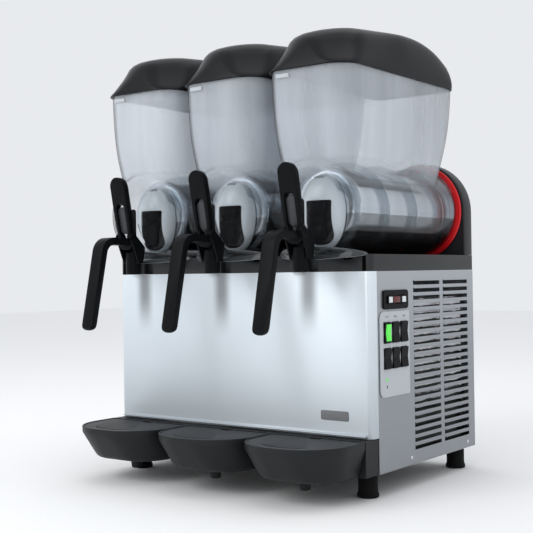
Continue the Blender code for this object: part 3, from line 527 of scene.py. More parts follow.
def add_bevel(obj, width, segments, angle):
    """Modifier that rounds the object's edges over an angle in degrees."""
    step = obj.modifiers.new("bevel", "BEVEL")
    step.width = width
    step.segments = segments
    step.limit_method = "ANGLE"
    step.angle_limit = radians(angle)


def bevelled(mesh, width, segments=2, angle=40):
    """The mesh with its sharp edges rounded."""
    obj = link_new("bevelled", mesh)
    add_bevel(obj, width, segments, angle)
    return evaluated(obj)


def refine_node(name, material, width=0.0, segments=2):
    """Keeps a CAD node and gives it a material and softened edges."""
    obj = frame["nodes"][name]
    obj.data.materials.clear()
    obj.data.materials.append(material)
    weld = obj.modifiers.new("weld", "WELD")
    weld.merge_threshold = 0.00001
    if width:
        add_bevel(obj, width, segments, 48)


def blend_curve(points, steps):
    """Catmull-Rom curve through tuples of numbers."""
    ends = [points[0], *points, points[-1]]
    result = []
    for a, b, c, d in zip(ends, ends[1:], ends[2:], ends[3:]):
        for k in range(steps):
            t = k / steps
            result.append(tuple(
                0.5 * (2 * q + (r - p) * t + (2 * p - 5 * q + 4 * r - s) * t * t
                       + (3 * q - p - 3 * r + s) * t ** 3)
                for p, q, r, s in zip(a, b, c, d)))
    result.append(points[-1])
    return result


# ---- cabinet
def build_front_panel(mats):
    """Bent front sheet with rounded corners and a folded lip above the trays."""
    corner, wing, sheet = 0.012, FRONT + 0.02, 0.0015
    bottom = local_box("front_panel")[0][2]

    def path(grow):
        radius = corner - grow
        return ([(-HALF + grow, wing)]
                + arc((-HALF + corner, FRONT + corner), radius, 180, 270, 12)
                + arc((HALF - corner, FRONT + corner), radius, 270, 360, 12)
                + [(HALF - grow, wing)])

    body = prism(path(0.0) + path(sheet)[::-1], bottom, CABINET_TOP, "Z")
    lip_section = [(0.0006, 0.009), (0.0006, 0.0035), (-0.0075, 0.0035), (-0.008, 0.0042), (-0.0075, 0.005),
                   (-0.0022, 0.0058)]
    lip = prism([(FRONT + y, bottom + z) for y, z in lip_section], -HALF + corner, HALF - corner, "X")
    add_piece("front_sheet", joined(body, lip), "cabinet", mats["front_steel"],
              ("front_panel",), 25)


def build_louvres(mats):
    """Small pressed hoods along the upper edges of the slots in both side panels."""
    rows, first, last = 23, 0.0765, 0.3785
    columns = ((-0.05, 0.054), (0.067, 0.172))
    section = ((-0.001, 0.0016), (0.0003, 0.0016), (0.0011, 0.0002), (0.0009, -0.0006), (-0.0008, -0.0002))
    end_gap = 0.0015
    for side, sign in (("right", 1), ("left", -1)):
        hoods = []
        for y0, y1 in columns:
            for row in range(rows):
                z = first + (last - first) * row / (rows - 1)
                hoods.append(loft([[(sign * (HALF + out), y, z + up) for out, up in section]
                                   for y in (y0 + end_gap, y1 - end_gap)]))
        add_piece(f"louvre_hoods_{side}", merged(hoods), "cabinet", mats["side_steel"])


def build_screws(mats):
    """Cross-head screws: two low on each side panel, and four in the rear panel."""
    heads = []
    for sign in (1, -1):
        for y, z in ((-0.064, 0.056), (0.165, 0.055)):
            heads.append(screw_head((sign * HALF, y, z), Matrix.Rotation(sign * pi / 2, 4, "Y")))
    for x in (-0.28, 0.28):
        for z in (0.06, 0.38):
            heads.append(screw_head((x, REAR, z), Matrix.Rotation(-pi / 2, 4, "X")))
    add_piece("panel_screws", merged(heads), "cabinet", mats["screw_steel"])


def screw_head(place, turn):
    """Domed head with a cross recess, standing on the sheet."""
    dome = lathe([(0.0001, 0.0017), (0.0016, 0.0016), (0.0028, 0.0011), (0.0034, 0.0004), (0.0035, -0.0004),
                  (0.0001, -0.0004)], (0, 0), "Z", 24)
    long, thin, floor, above = 0.002, 0.0003, 0.001, 0.003
    head = cut(dome, block((-long, -thin, floor), (long, thin, above)),
               block((-thin, -long, floor), (thin, long, above)))
    head.transform(Matrix.Translation(place) @ turn)
    return head


def build_deck(mats):
    """Top frame: grey rail with locating tabs, notches and pockets, and near-black fills in its gaps and
    pockets as painted shade.
    """
    top, bottom = DECK_TOP, CABINET_TOP + 0.0004
    below, above = CABINET_TOP - 0.01, top + 0.01
    tab_radii, pocket_radii = (0.001, 0.001, 0.01, 0.01), (0.008, 0.008, 0.001, 0.001)
    slab = prism(rounded_box(-HALF, HALF, FRONT, REAR, (0.012, 0.012, 0.003, 0.003)), bottom, top, "Z")
    tabs, room, cuts, gaps = [], [], [], []
    for x in BAYS.values():
        tabs.append(prism(rounded_box(x - 0.0655, x - 0.0425, bottom, 0.4475, tab_radii),
                          FRONT - 0.01, FRONT + 0.001, "Y"))
        room.append(cylinder_y((x, FRONT - 0.005, DRUM_Z), TROUGH_RADIUS + 0.0007, 0.03, 96))
        cuts.append(cylinder_y((x, 0.159, DRUM_Z), 0.0985, 0.014, 96))
        cuts.append(prism(rounded_box(x + 0.036, x + 0.066, top - 0.009, above, pocket_radii, 6),
                          FRONT - 0.002, FRONT + 0.01, "Y"))
        cuts.append(block((x - 0.032, FRONT - 0.002, below), (x - 0.008, FRONT + 0.012, top - 0.004)))
    for side in (-1, 1):
        near, far = sorted((side * (HALF - 0.0175), side * (HALF - 0.0095)))
        cuts.append(block((near, FRONT - 0.005, below), (far, FRONT + 0.0045, above)))
        gaps.append(block((near - 0.0003, FRONT + 0.004, CABINET_TOP + 0.0005),
                          (far + 0.0003, FRONT + 0.0055, top - 0.0005)))
    for x in BAYS.values():
        pocket = rounded_box(x + 0.0355, x + 0.0665, top - 0.0095, top - 0.0008, pocket_radii, 6)
        gaps.append(prism(pocket, FRONT + 0.0085, FRONT + 0.0105, "Y"))
    # painted shade: near-black pieces fill the rail's side gaps and the backs of its pockets, where only
    # shade is
    add_piece("rail_gap_shade_fills", merged(gaps), "cabinet", mats["recess_painted_shade"])
    slab = joined(slab, cut(merged(tabs), merged(room)))
    add_piece("deck_frame", bevelled(cut(slab, merged(cuts)), 0.0008, 2, 50), "cabinet", mats["deck_grey"],
              ("deck",), 40)


def build_rear_housing(mats):
    """Hood of three arches with a rolled front edge and a sunk front face."""
    bottom = DECK_TOP + 0.0004
    levels = (             # inset of the outline, place in Y
        (0.003, REAR), (0.0008, REAR - 0.0012), (0.0, REAR - 0.004), (0.0, HOUSING_FRONT + 0.003),
        (0.0008, HOUSING_FRONT + 0.0008), (0.0025, HOUSING_FRONT), (0.0045, HOUSING_FRONT + 0.0006),
        (0.0055, HOUSING_FRONT + 0.0025),
    )

    def outline(inset):
        foot = bottom + (inset if inset > 0.004 else 0)
        arches = [point for x in BAYS.values() for point in arc((x, DRUM_Z), PITCH / 2 - inset, 180, 0, 28)]
        return [(-HALF + inset, foot), *arches, (HALF - inset, foot)]

    shell = loft([[(x, y, z) for x, z in outline(inset)] for inset, y in levels])
    holes = [cylinder_y((x, HOUSING_FRONT, DRUM_Z), DRUM_RADIUS + 0.001, 0.02) for x in BAYS.values()]
    add_piece("rear_hood", cut(shell, merged(holes)), "cabinet", mats["deck_grey"],
              ("rear_housing",), 25)


# ---- cooling drums
def build_drums(mats):
    """Polished drum with a rounded nose and a rear flange, and the red seal."""
    nose, rear = -0.186, HOUSING_FRONT - 0.0004
    r, wall, bore = DRUM_RADIUS, 0.003, 0.0078
    flange = 0.094
    profile = [(bore, nose), *quarter_bend(r, 0.013, nose), (r, rear - 0.0036), (r + 0.0006, rear - 0.003),
               (flange - 0.0005, rear - 0.003), (flange, rear - 0.0025), (flange, rear), (r - wall, rear),
               (r - wall, nose + 0.004), (bore, nose + 0.004)]
    per_bay("drum", lathe(profile, (0, DRUM_Z), "Y", 96), "cabinet", mats["drum_steel"],
            "evaporator_{bay}", 30)
    lo, hi = local_box("bowl_seal_centre")
    outer = (hi[0] - lo[0]) / 2
    y0, y1 = lo[1], hi[1]
    bead = 0.0034
    lip = [(0.0832, y1), (0.0832, y0 + 0.0006), (0.0838, y0), (0.09, y0), (0.0912, y0 + 0.0004)]
    lip += [(outer - bead + bead * sin(radians(a)), y0 + 0.0036 - bead * cos(radians(a)))
            for a in range(0, 181, 20)]
    per_bay("seal_ring", lathe(lip + [(outer - 0.004, y1)], (0, DRUM_Z), "Y", 96), "cabinet",
            mats["red_silicone"], "bowl_seal_{bay}", 50)


# ---- augers
def build_augers(mats):
    """Scraper spiral drawn into the nose, the shell of the nose, and the black hub."""
    turns, per_turn, draw_in = 3.25, 48, 16
    start, thick = radians(255), 0.003
    rear, nose = 0.138, -0.1965
    inner, outer = DRUM_RADIUS + 0.0012, 0.0825
    nose_inner, nose_outer = 0.02, 0.046
    steps = int(turns * per_turn)
    sections = []
    for k in range(steps + 1):
        y = rear + (nose - rear) * k / steps
        sections.append(blade_section(start + tau * k / per_turn, y, inner, outer, thick))
    for k in range(1, draw_in + 1):
        t = k / draw_in
        r_in = inner + (nose_inner - inner) * min(1.0, 1.25 * t)
        r_out = outer + (nose_outer - outer) * t * t
        sections.append(blade_section(start + tau * (steps + k) / per_turn, nose - 0.003 * t, r_in, r_out,
                                      thick * (1 + 0.6 * t)))
    per_bay("auger_spiral", loft(sections), "auger_drive_{bay}", mats["blade_plastic"],
            "auger_{bay}", 60)
    # painted highlight: the spiral's outer rim faces get the material whose milky band paints glints on the
    # blade edges
    for bay, x in BAYS.items():
        mark_faces(bpy.data.objects[f"auger_spiral_{bay}"], mats["blade_rim_painted_glint"],
                   lambda face: hypot(face.center.x - PLACE.x - x, face.center.z - DRUM_Z) > outer - 0.0008)
    per_bay("auger_nose", nose_shell(), "auger_drive_{bay}", mats["white_plastic"])
    per_bay("drive_knob", hub_mesh(), "auger_drive_{bay}", mats["gloss_black"],
            "drive_shaft_{bay}", 40)


def blade_section(angle, y, r_in, r_out, thick):
    """Section of the spiral with a rounded outer edge."""
    half = thick / 2
    section = [(r_in, y - half), *arc((r_out - half, y), half, -90, 90, 4), (r_in, y + half)]
    return [(r * cos(angle), across, DRUM_Z + r * sin(angle)) for r, across in section]


def mark_faces(obj, material, chosen):
    """Gives the faces that pass a test a second material."""
    obj.data.materials.append(material)
    for face in obj.data.polygons:
        if chosen(face):
            face.material_index = 1


def oval(across, up, y, steps):
    """Upright oval round the middle of the nose."""
    return [(across * cos(tau * k / steps), y, NOSE_Z + up * sin(tau * k / steps)) for k in range(steps)]


def hub_mesh():
    """Shaft with a domed knob, a stepped tongue hanging from it and the dark core of the nose."""
    knob = [(0.0004, -0.22), (0.012, -0.22), (0.0175, -0.2185), (0.02, -0.216), (0.0205, -0.212),
            (0.0205, -0.19), (0.018, -0.1885), (0.0056, -0.188), (0.0056, 0.182), (0.0004, 0.182)]
    root = -0.1895
    tongue = rounded_box(-0.015, 0.017, DRUM_Z - 0.062, DRUM_Z, (0.007, 0.007, 0.002, 0.002), 6)
    step = rounded_box(-0.0215, 0.0195, DRUM_Z - 0.036, DRUM_Z - 0.02, (0.003,) * 4, 4)
    core = loft([oval(0.0385 * share, 0.062 * share, y, 48)
                 for share, y in ((1.0, -0.189), (0.97, -0.2), (0.88, -0.206))])
    return joined(lathe(knob, (0, DRUM_Z), "Y", 48), bevelled(prism(tongue, -0.215, root, "Y"), 0.002, 3),
                  bevelled(prism(step, -0.2175, root, "Y"), 0.0015, 3), core)


def nose_shell():
    """Upright egg-shaped shell in front of the drum, open in the middle round the black hub."""
    depth, wall = 0.033, 0.003
    half_width, half_height = 0.045, 0.069
    before, behind = -0.26, -0.189

    def egg(offset, y_back):
        rings = [oval(half_width - offset, half_height - offset, y_back, 64)]
        for a in range(0, 86, 8):
            share = cos(radians(a)) ** 0.72
            y = NOSE_BACK - (depth - offset) * sin(radians(a))
            rings.append(oval((half_width - offset) * share, (half_height - offset) * share, y, 64))
        return loft(rings)

    window = rounded_box(-0.019, 0.031, DRUM_Z - 0.071, DRUM_Z + 0.008, (0.014, 0.024, 0.004, 0.002))
    open_side = block((-0.06, -0.216, DRUM_Z - 0.055), (0.0, -0.18, DRUM_Z + 0.003))
    crescent = arc((0, DRUM_Z - 0.006), 0.059, 80, 112, 8) + arc((0, DRUM_Z - 0.008), 0.056, 112, 80, 8)
    shell = cut(egg(0.0, NOSE_BACK), egg(wall, NOSE_BACK + 0.01))
    shell = cut(shell, prism(window, before, behind, "Y"), open_side, prism(crescent, before, behind, "Y"))
    return bevelled(shell, 0.0008, 2, 60)


# ---- bowls
BOWL_LEVELS = (           # height, half width, front, rear, front corner radius
    (0.757, 0.0885, -0.25, 0.1525, 0.042),
    (0.72, 0.0884, -0.2492, 0.148, 0.043),
    (0.673, 0.0875, -0.247, 0.139, 0.044),
    (0.635, 0.0852, -0.2435, 0.128, 0.045),
    (0.606, 0.082, -0.2395, 0.119, 0.046),
    (0.58, 0.078, -0.236, 0.114, 0.046),
    (0.56, 0.0745, -0.233, 0.111, 0.046),
)


def hopper(grow, top):
    """Upper part of the bowl, offset by grow and carried up to a height."""
    levels = blend_curve(BOWL_LEVELS, 3)
    if top > levels[0][0]:
        levels.insert(0, (top, *levels[0][1:]))
    back = 0.022 + grow
    rings = []
    for z, w, front, rear, corner in levels:
        outline = rounded_box(-w - grow, w + grow, front - grow, rear + grow,
                              (corner + grow, corner + grow, back, back), 9)
        rings.append(at_z(outline, z))
    return loft(rings)


def trough(radius, front, rear, bend):
    """Round trough along Y with a rounded front end."""
    turns = [tau * k / 96 for k in range(96)]
    return loft([[(r * cos(turn), y, DRUM_Z + r * sin(turn)) for turn in turns]
                 for r, y in quarter_bend(radius, bend, front) + [(radius, rear)]])


def build_bowls(mats):
    """Clear bowl with its outlet, plus its apron and grip."""
    outer = joined(hopper(0.0, RIM_Z), trough(TROUGH_RADIUS, TROUGH_FRONT, MOUTH_Y, 0.024))
    inner = joined(hopper(-BOWL_WALL, RIM_Z + 0.02),
                   trough(TROUGH_RADIUS - BOWL_WALL, TROUGH_FRONT + BOWL_WALL, MOUTH_Y + 0.02, 0.021))
    outlet = cylinder_y((0, TROUGH_FRONT, 0.4425), 0.0079, 0.05, 32)
    per_bay("clear_bowl", cut(outer, inner, outlet), "bowl_unit_{bay}", mats["clear_wall"],
            "bowl_{bay}", 22)
    width, sweep, lens_z = 0.092, 0.055, 0.4262
    lens = [(width * sin(radians(a)), lens_z - 0.0085 * cos(radians(a))) for a in range(-82, 87, 8)]
    lens += [(width * sin(radians(a)), lens_z + 0.015 * cos(radians(a))) for a in range(86, -91, -8)]
    apron = bevelled(prism(lens, -0.2535, -0.2465, "Y"), 0.0012)
    for vertex in apron.vertices:
        vertex.co.y += sweep * (vertex.co.x / width) ** 2
    per_bay("bowl_apron", apron, "bowl_unit_{bay}", mats["clear_apron"])
    grip = bevelled(block((-0.058, BOWL_FRONT - 0.0022, 0.74), (-0.03, BOWL_FRONT + 0.0016, 0.7475)), 0.001)
    per_bay("bowl_grip", grip, "bowl_unit_{bay}", mats["silver_plate"])


# ---- lids
LID_LEVELS = (            # inset of the outline, share of the height, front corner radius
    (0.0008, 0.0, 0.044), (0.0, 0.012, 0.044), (0.0, 0.045, 0.046), (0.0018, 0.15, 0.056),
    (0.0045, 0.3, 0.066), (0.0078, 0.45, 0.074), (0.0115, 0.62, 0.08), (0.017, 0.77, 0.074),
    (0.024, 0.87, 0.0672), (0.033, 0.935, 0.0582), (0.045, 0.975, 0.0462), (0.06, 0.993, 0.0312),
    (0.078, 1.0, 0.0132),
)


def build_lids(mats):
    """Domed lid with a lighter hollow inside, and a pocket that fits over the bowl's rim."""
    wall, room = 0.0065, 0.0006
    dome = ridged([lid_ring(inset, share, corner, LID_LO[2]) for inset, share, corner in LID_LEVELS])
    _, w, front, rear, corner = BOWL_LEVELS[0]
    rim = rounded_box(-w - room, w + room, front - room, rear + room, (corner, corner, 0.0226, 0.0226), 9)
    pocket = loft([at_z(rim, z) for z in (0.74, RIM_Z + 0.0004)])
    hollow = ridged([lid_ring(inset + wall, share * 0.93, max(corner - 0.006, 0.004), RIM_Z - 0.002, 0.003)
                     for inset, share, corner in LID_LEVELS[1:-2]])
    per_bay("lid_dome", cut(dome, pocket, hollow), "lid_{bay}_body", mats["lid_black"],
            "lid_{bay}", 30)
    for bay, x in BAYS.items():
        middle = PLACE + Vector((x, (LID_LO[1] + LID_HI[1]) / 2, LID_LO[2]))
        mark_faces(bpy.data.objects[f"lid_dome_{bay}"], mats["lid_inside"],
                   lambda face: face.center.z > RIM_Z - 0.001 and face.normal.dot(face.center - middle) < 0)


def ridged(rings):
    """Skin through rings, closed on top by a strip that meets in a line down the middle."""
    def build(bm):
        ridge = [(0.0, y, z) for _, y, z in rings[-1]]
        loops = new_loops(bm, [*rings, ridge])
        skin(bm, loops)
        bm.faces.new(loops[0])
        bmesh.ops.remove_doubles(bm, verts=bm.verts, dist=0.00001)
    return to_mesh(build)


def lid_ring(inset, share, corner, base, below=0.0):
    """One outline of the lid; its height at each point follows the lid's side profile."""
    half = LID_HI[0] - inset
    front = LID_LO[1] + inset * 1.2
    rear = LID_HI[1] - inset * 0.22
    limit = half - 0.0005
    near, back = min(corner, limit), min(0.024 + inset * 0.5, limit)
    ring = []
    for x, y in with_side_points(rounded_box(-half, half, front, rear, (near, near, back, back), 12), 20):
        fuller = 1 + 0.5 * inset / half * clamped((y + 0.1) / 0.18)
        boxier = 1 - 0.62 * clamped((y + 0.17) / 0.13)
        ring.append((x * fuller, y, base + (lid_height(y) - below - base) * share ** boxier))
    return ring


def clamped(share):
    """The share held between 0 and 1."""
    return min(1.0, max(0.0, share))


def with_side_points(outline, count):
    """The outline with points added along its two long straight sides."""
    result = []
    for here, after in zip(outline, outline[1:] + outline[:1]):
        result.append(here)
        if abs(after[1] - here[1]) > 0.05:
            for k in range(1, count):
                result.append((here[0], here[1] + (after[1] - here[1]) * k / count))
    return result


def lid_height(y):
    """Side profile of the lid's top: rises from the front to a crown, then falls ever steeper."""
    crown_y, crown = -0.02, LID_HI[2] + 0.003
    if y <= crown_y:
        return crown - 0.017 * ((crown_y - y) / 0.22) ** 1.6
    return crown - 0.055 * ((y - crown_y) / (LID_HI[1] - crown_y)) ** 2.3


# ---- taps
def build_taps(mats):
    """Barrel with cheeks, piston, and the one-piece lever with a web in its slot."""
    for bay in BAYS:
        refine_node(f"tap_body_{bay}", mats["black_satin"], 0.0008)
        refine_node(f"tap_piston_{bay}", mats["charcoal"], 0.0006)
    per_bay("lever", lever_mesh(), "tap_lever_{bay}_body", mats["black_satin"],
            "tap_lever_{bay}", 40)
    per_bay("lever_web", slot_web(), "tap_lever_{bay}_body", mats["stem_grey"])


PADDLE_FOOT = (-0.2768, 0.445)      # y, z
PADDLE_TOP = (-0.3035, 0.584)


def on_paddle(outline, back, front):
    """Plate of an outline (x, z) that follows the paddle's lean, between two offsets in Y."""
    (foot_y, foot_z), (top_y, top_z) = PADDLE_FOOT, PADDLE_TOP
    slope = (top_y - foot_y) / (top_z - foot_z)
    return loft([[(x, foot_y + slope * (z - foot_z) + offset, z) for x, z in outline]
                 for offset in (back, front)])


def lever_mesh():
    """Slotted paddle leaning forward, the hanging handle, and the trunnions."""
    half, wide, round_foot = 0.0165, 0.0185, 0.011
    foot_z, top_z = PADDLE_FOOT[1], PADDLE_TOP[1]
    right_side = [(half, 0.478), (wide - 0.0005, 0.49), (wide, 0.51), (wide, 0.54)]
    left_side = [(-x, z) for x, z in reversed(right_side)]
    outline = [*arc((-half + round_foot, foot_z + round_foot), round_foot, 180, 270, 6),
               *arc((half - round_foot, foot_z + round_foot), round_foot, 270, 360, 6),
               *right_side, *arc((0, top_z - wide), wide, 0, 180, 24), *left_side]
    slot = prism(rounded_box(-0.0102, 0.0102, 0.47, 0.533, (0.01,) * 4, 12), -0.33, -0.24, "Y")
    low_slot = prism(rounded_box(-0.0078, 0.0078, 0.4572, 0.52, (0.0072,) * 4), -0.3, -0.24, "Y")
    paddle = bevelled(cut(on_paddle(outline, -0.007, 0.007), slot), 0.0022, 4, 50)
    grip = 0.013
    from_front = rounded_box(-grip, grip, 0.2935, 0.6, (0.0128, 0.0128, 0.001, 0.001), 14)
    handle = combine("INTERSECT", prism(handle_profile(), -grip, grip, "X"),
                     [prism(from_front, -0.45, -0.2, "Y")])
    lever = cut(joined(paddle, bevelled(handle, 0.003, 4, 50)), low_slot)
    pins, bosses = zip(trunnion(-1), trunnion(1))
    return joined(lever, *pins, *bosses)


def trunnion(side):
    """Short pin on the pivot's axis at one side of the lever, and the block it stands on."""
    _, y, z = PIVOT
    inner, radius, thick, half = side * 0.012, 0.004, 0.0022, 0.006
    pin = lathe([(0.0002, inner), (radius, inner), (radius, side * 0.0196),
                 (radius - 0.0006, side * 0.0202), (0.0002, side * 0.0202)], (y, z), "X", 32)
    return pin, block((inner - thick, y - half, z - half), (inner + thick, y + half, z + half))


def slot_web():
    """Thin oval web recessed in the paddle's slot, with a gap at both ends."""
    outline = rounded_box(-0.0104, 0.0104, 0.4755, 0.5275, (0.01,) * 4, 12)
    return bevelled(on_paddle(outline, -0.0015, 0.002), 0.0006, 2, 50)


def handle_profile():
    """Side outline (y, z) of the hanging handle, with a round bend and tip."""
    bend, root_y = (-0.328, 0.435), -0.283
    tip_front, tip_back = (-0.3905, 0.302), (-0.377, 0.299)
    middle = ((tip_front[0] + tip_back[0]) / 2, (tip_front[1] + tip_back[1]) / 2)
    radius = hypot(tip_front[0] - tip_back[0], tip_front[1] - tip_back[1]) / 2
    return ([(root_y, 0.467)] + arc(bend, 0.033, 90, 172, 14) + arc(middle, radius, 192, 372, 14)
            + arc(bend, 0.019, 172, 90, 14) + [(root_y, 0.453)])


# ---- drip trays
TRAY_RIM = (0.099, -0.36, 0.086)      # half width, front, front corner radius
TRAY_LEVELS = (           # height, half width, front, front corner radius
    (0.106, 0.098, -0.359, 0.085), (0.1056, 0.0988, -0.3598, 0.0858), (0.1044, *TRAY_RIM),
    (0.098, *TRAY_RIM), (0.094, 0.0986, -0.3592, 0.0852), (0.052, 0.0875, -0.3255, 0.064),
    (0.046, 0.085, -0.32, 0.06), (0.0432, 0.0815, -0.315, 0.056),
)


def tray_ring(z, half_width, front, corner, grow=0.0):
    """Outline of the tray at a height, with its round front, offset by grow."""
    return at_z(rounded_box(-half_width - grow, half_width + grow, front - grow, TRAY_REAR + grow,
                            (corner + grow, corner + grow, 0.003, 0.003), 20), z)


def build_trays(mats):
    """Tapered basin with a rolled rim and drain stub, and its cover with a crescent opening."""
    middle, low, high = -0.262, 0.09, 0.12
    outer = loft([tray_ring(*level) for level in TRAY_LEVELS])
    basin_levels = ((0.115, *TRAY_RIM), *TRAY_LEVELS[3:6], (0.0465, 0.085, -0.32, 0.06))
    basin = loft([tray_ring(*level, -0.0062) for level in basin_levels])
    pocket = loft([tray_ring(z, *TRAY_RIM, -0.003) for z in (0.1014, 0.115)])
    stub = lathe([(0.0002, 0.0205), (0.0075, 0.0207), (0.0092, 0.022), (0.0118, 0.04), (0.0118, 0.045),
                  (0.0002, 0.045)], (0, middle), "Z", 40)
    per_bay("tray_basin", joined(cut(outer, basin, pocket), stub), "drip_tray_{bay}_body", mats["charcoal"],
            "drip_tray_{bay}", 32)
    cover = loft([tray_ring(z, *TRAY_RIM, inset)
                  for z, inset in ((0.1018, -0.0034), (0.1042, -0.0034), (0.1048, -0.004))])
    crescent = arc((0, middle), 0.08, 236, 304, 24) + arc((0, middle + 0.01), 0.086, 300, 240, 24)
    notch = rounded_box(-0.012, 0.012, TRAY_REAR - 0.012, TRAY_REAR + 0.004,
                        (0.004, 0.004, 0.001, 0.001), 5)
    cover = cut(cover, prism(crescent, low, high, "Z"), prism(notch, low, high, "Z"))
    per_bay("tray_cover", bevelled(cover, 0.0005, 2, 50), "drip_grid_{bay}_body", mats["charcoal"],
            "drip_grid_{bay}", 32)


def build_feet(mats):
    """Turned rubber feet with a wider pad."""
    for end in ("front", "rear"):
        for side in ("left", "right"):
            lo, hi = local_box(f"foot_{end}_{side}")
            profile = [(0.0004, 0.0), (0.0165, 0.0), (0.0188, 0.001), (0.0195, 0.003), (0.0195, 0.0062),
                       (0.0188, 0.008), (0.0177, 0.0092), (0.0175, 0.012), (0.0175, 0.036),
                       (0.0168, 0.037), (0.0168, hi[2]), (0.0004, hi[2])]
            foot = lathe(profile, ((lo[0] + hi[0]) / 2, (lo[1] + hi[1]) / 2), "Z", 48)
            add_piece(f"foot_pad_{end}_{side}", foot, "cabinet", mats["rubber"],
                      (f"foot_{end}_{side}",), 40)


# ---- controls
def build_controls(mats):
    """Switch bezel, rockers, plate, lamp and small generic symbols."""
    refine_node("main_switch_bezel", mats["black_satin"], 0.0009, 3)
    refine_node("control_plate", mats["silver_plate"], 0.0004)
    refine_node("main_switch_rocker", mats["gloss_black"], 0.0008, 3)
    for row in ("upper", "lower"):
        for bay in BAYS:
            refine_node(f"rocker_{row}_{bay}", mats["gloss_black"], 0.0009, 3)
    build_green_lens(mats)
    build_main_rocker_marks(mats)
    build_plate_marks(mats)


def build_green_lens(mats):
    """Lit lens set in the upper left rocker, following its hollow face."""
    lo, hi = local_box("rocker_upper_left")
    y0, y1 = lo[1] + 0.0055, hi[1] - 0.0012
    z0, z1 = lo[2] + 0.003, hi[2] - 0.003
    middle, reach = (lo[2] + hi[2]) / 2, (hi[2] - lo[2]) / 2
    hollow, depth = 0.0016, 0.0045
    heights = [z0 + (z1 - z0) * k / 8 for k in range(9)]
    outline = [(hi[0] - hollow * (1 - abs(z - middle) / reach), z) for z in heights]
    outline += [(hi[0] - depth, z1), (hi[0] - depth, z0)]
    lens = loft([[(x, y, z) for x, z in outline] for y in (y0, y1)])
    add_piece("green_rocker_lens", bevelled(lens, 0.0004), "switch_upper_left", mats["green_lens"])


def build_main_rocker_marks(mats):
    """White keys at both ends of the main switch and a red lens between them."""
    lo, hi = local_box("main_switch_rocker")
    z0, z1 = lo[2] + 0.0018, hi[2] - 0.0018
    middle = (lo[1] + hi[1]) / 2
    keys = [bevelled(block((hi[0] - 0.003, y0, z0), (hi[0] + 0.0006, y1, z1)), 0.0006)
            for y0, y1 in ((lo[1] + 0.0035, middle - 0.0165), (middle + 0.019, hi[1] - 0.001))]
    add_piece("main_switch_keys", merged(keys), "main_switch", mats["white_plastic"])
    lens = block((hi[0] - 0.0045, middle - 0.0125, z0), (hi[0] - 0.0012, middle + 0.015, z1))
    add_piece("main_switch_lens", bevelled(lens, 0.0006), "main_switch", mats["red_lens"])


def build_plate_marks(mats):
    """Three small bars over each column of rockers, a mark low on the plate, and the standby lamp."""
    x, proud = PLATE_HI[0], 0.0002
    z = PLATE_HI[2] - 0.0095
    marks = []
    for k, bay in enumerate(BAYS):
        lo, hi = local_box(f"rocker_upper_{bay}")
        for j in range(3):
            width = 0.0012 if k == 0 else 0.002 - 0.0004 * j
            height = 0.003 - 0.0006 * abs(j - 1) if k != 2 else 0.0016 + 0.001 * j
            y = (lo[1] + hi[1]) / 2 + (j - 1) * 0.0038
            marks.append(block((x - proud, y - width / 2, z - height / 2),
                               (x + proud, y + width / 2, z + height / 2)))
    marks.append(block((x - proud, -0.1535, 0.1905), (x + proud, -0.1505, 0.196)))
    add_piece("plate_symbols", merged(marks), "cabinet", mats["symbol_ink"])
    lamp = lathe([(0.0002, x + 0.0016), (0.0014, x + 0.0014), (0.0024, x + 0.0006), (0.0027, x - 0.0003),
                  (0.0002, x - 0.0003)], (-0.152, 0.2055), "X", 32)
    add_piece("standby_lamp", lamp, "cabinet", mats["green_lens"])


def build_badge(mats):
    """Plain blank nameplate low on the front."""
    x, z, half_width, half_height = 0.222, 0.143, 0.029, 0.0085
    outline = rounded_box(x - half_width, x + half_width, z - half_height, z + half_height, (0.003,) * 4, 6)
    plate = bevelled(prism(outline, FRONT - 0.0012, FRONT + 0.0004, "Y"), 0.0005, 3, 50)
    add_piece("blank_nameplate", plate, "cabinet", mats["grey_paint"])


# ---- nodes kept as they are in the CAD
def finish_cad_nodes(mats):
    """Materials and softened edges for the nodes whose CAD shape is final."""
    for name in ("side_panel_right", "side_panel_left", "rear_panel"):
        refine_node(name, mats["side_steel"])
    refine_node("chassis_base", mats["charcoal"], 0.0008)
    refine_node("compressor", mats["black_satin"], 0.0015)
    refine_node("condenser", mats["condenser_fins"], 0.0004)
    refine_node("fan_shroud", mats["grey_paint"], 0.0008)
    refine_node("fan_blades", mats["black_satin"], 0.0004)
    for bay in BAYS:
        refine_node(f"gearmotor_{bay}", mats["grey_paint"], 0.001)


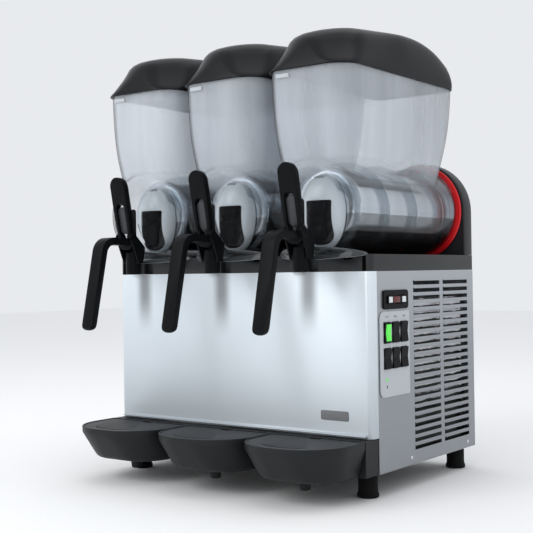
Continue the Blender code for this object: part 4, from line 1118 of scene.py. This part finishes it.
# ---- stage, light and camera
def build_stage():
    """Pale floor under a pale sky, with soft light from the left front and from above."""
    grid = to_mesh(lambda bm: bmesh.ops.create_grid(bm, x_segments=2, y_segments=2, size=8.0))
    floor = link_new("floor", grid)
    made, tree, shader = new_material("pale_floor")
    fill_inputs(tree, shader, {"Base Color": (0.93, 0.93, 0.93, 1), "Roughness": 0.85,
                               "Specular IOR Level": 0.1})
    grid.materials.append(made)

    world = bpy.data.worlds.new("studio")
    bpy.context.scene.world = world
    world.use_nodes = True
    sky = world.node_tree.nodes["Background"]
    fill_inputs(world.node_tree, sky, {"Color": (0.95, 0.97, 1.0, 1), "Strength": 0.85})

    soft_box("key", (-1.1, -2.8, 2.3), 2.2, 40, (0, 0, 0.45))
    soft_box("top", (0.2, 0.2, 3.0), 2.4, 16, (0, 0, 0.4))


def soft_box(name, place, size, power, target):
    """Square area light aimed at a point."""
    data = bpy.data.lights.new(name, "AREA")
    data.size = size
    data.energy = power
    lamp = link_new(name, data)
    lamp.location = place
    lamp.rotation_euler = (Vector(target) - Vector(place)).to_track_quat("-Z", "Y").to_euler()


def build_camera():
    """Camera low in front of the right corner, level with the deck."""
    place = Vector((1.239, -1.758, 0.3944))
    azimuth, pitch, roll = radians(36.71), 0.0071, -0.0143
    right = Vector((cos(azimuth), sin(azimuth), 0))
    ahead = Vector((-sin(azimuth), cos(azimuth), 0))
    up = Vector((0, 0, 1))
    look = ahead * cos(pitch) + up * sin(pitch)
    lift = up * cos(pitch) - ahead * sin(pitch)
    side = right * cos(roll) + lift * sin(roll)
    head = lift * cos(roll) - right * sin(roll)
    data = bpy.data.cameras.new("camera")
    data.sensor_width = 36.0
    data.lens = 71.08
    camera = link_new("camera", data)
    matrix = Matrix((side, head, -look)).transposed().to_4x4()
    matrix.translation = PLACE + place
    camera.matrix_world = matrix
    bpy.context.scene.camera = camera


def main():
    """Builds every piece, then the stage, the lights and the camera."""
    mats = make_materials()
    for build in (build_front_panel, build_louvres, build_screws, build_deck, build_rear_housing,
                  build_drums, build_augers, build_bowls, build_lids, build_taps, build_trays, build_feet,
                  build_controls, build_badge, finish_cad_nodes):
        build(mats)
    build_stage()
    build_camera()
    bpy.context.scene.view_settings.view_transform = "Standard"
    bpy.context.scene.cycles.transparent_max_bounces = 32


main()
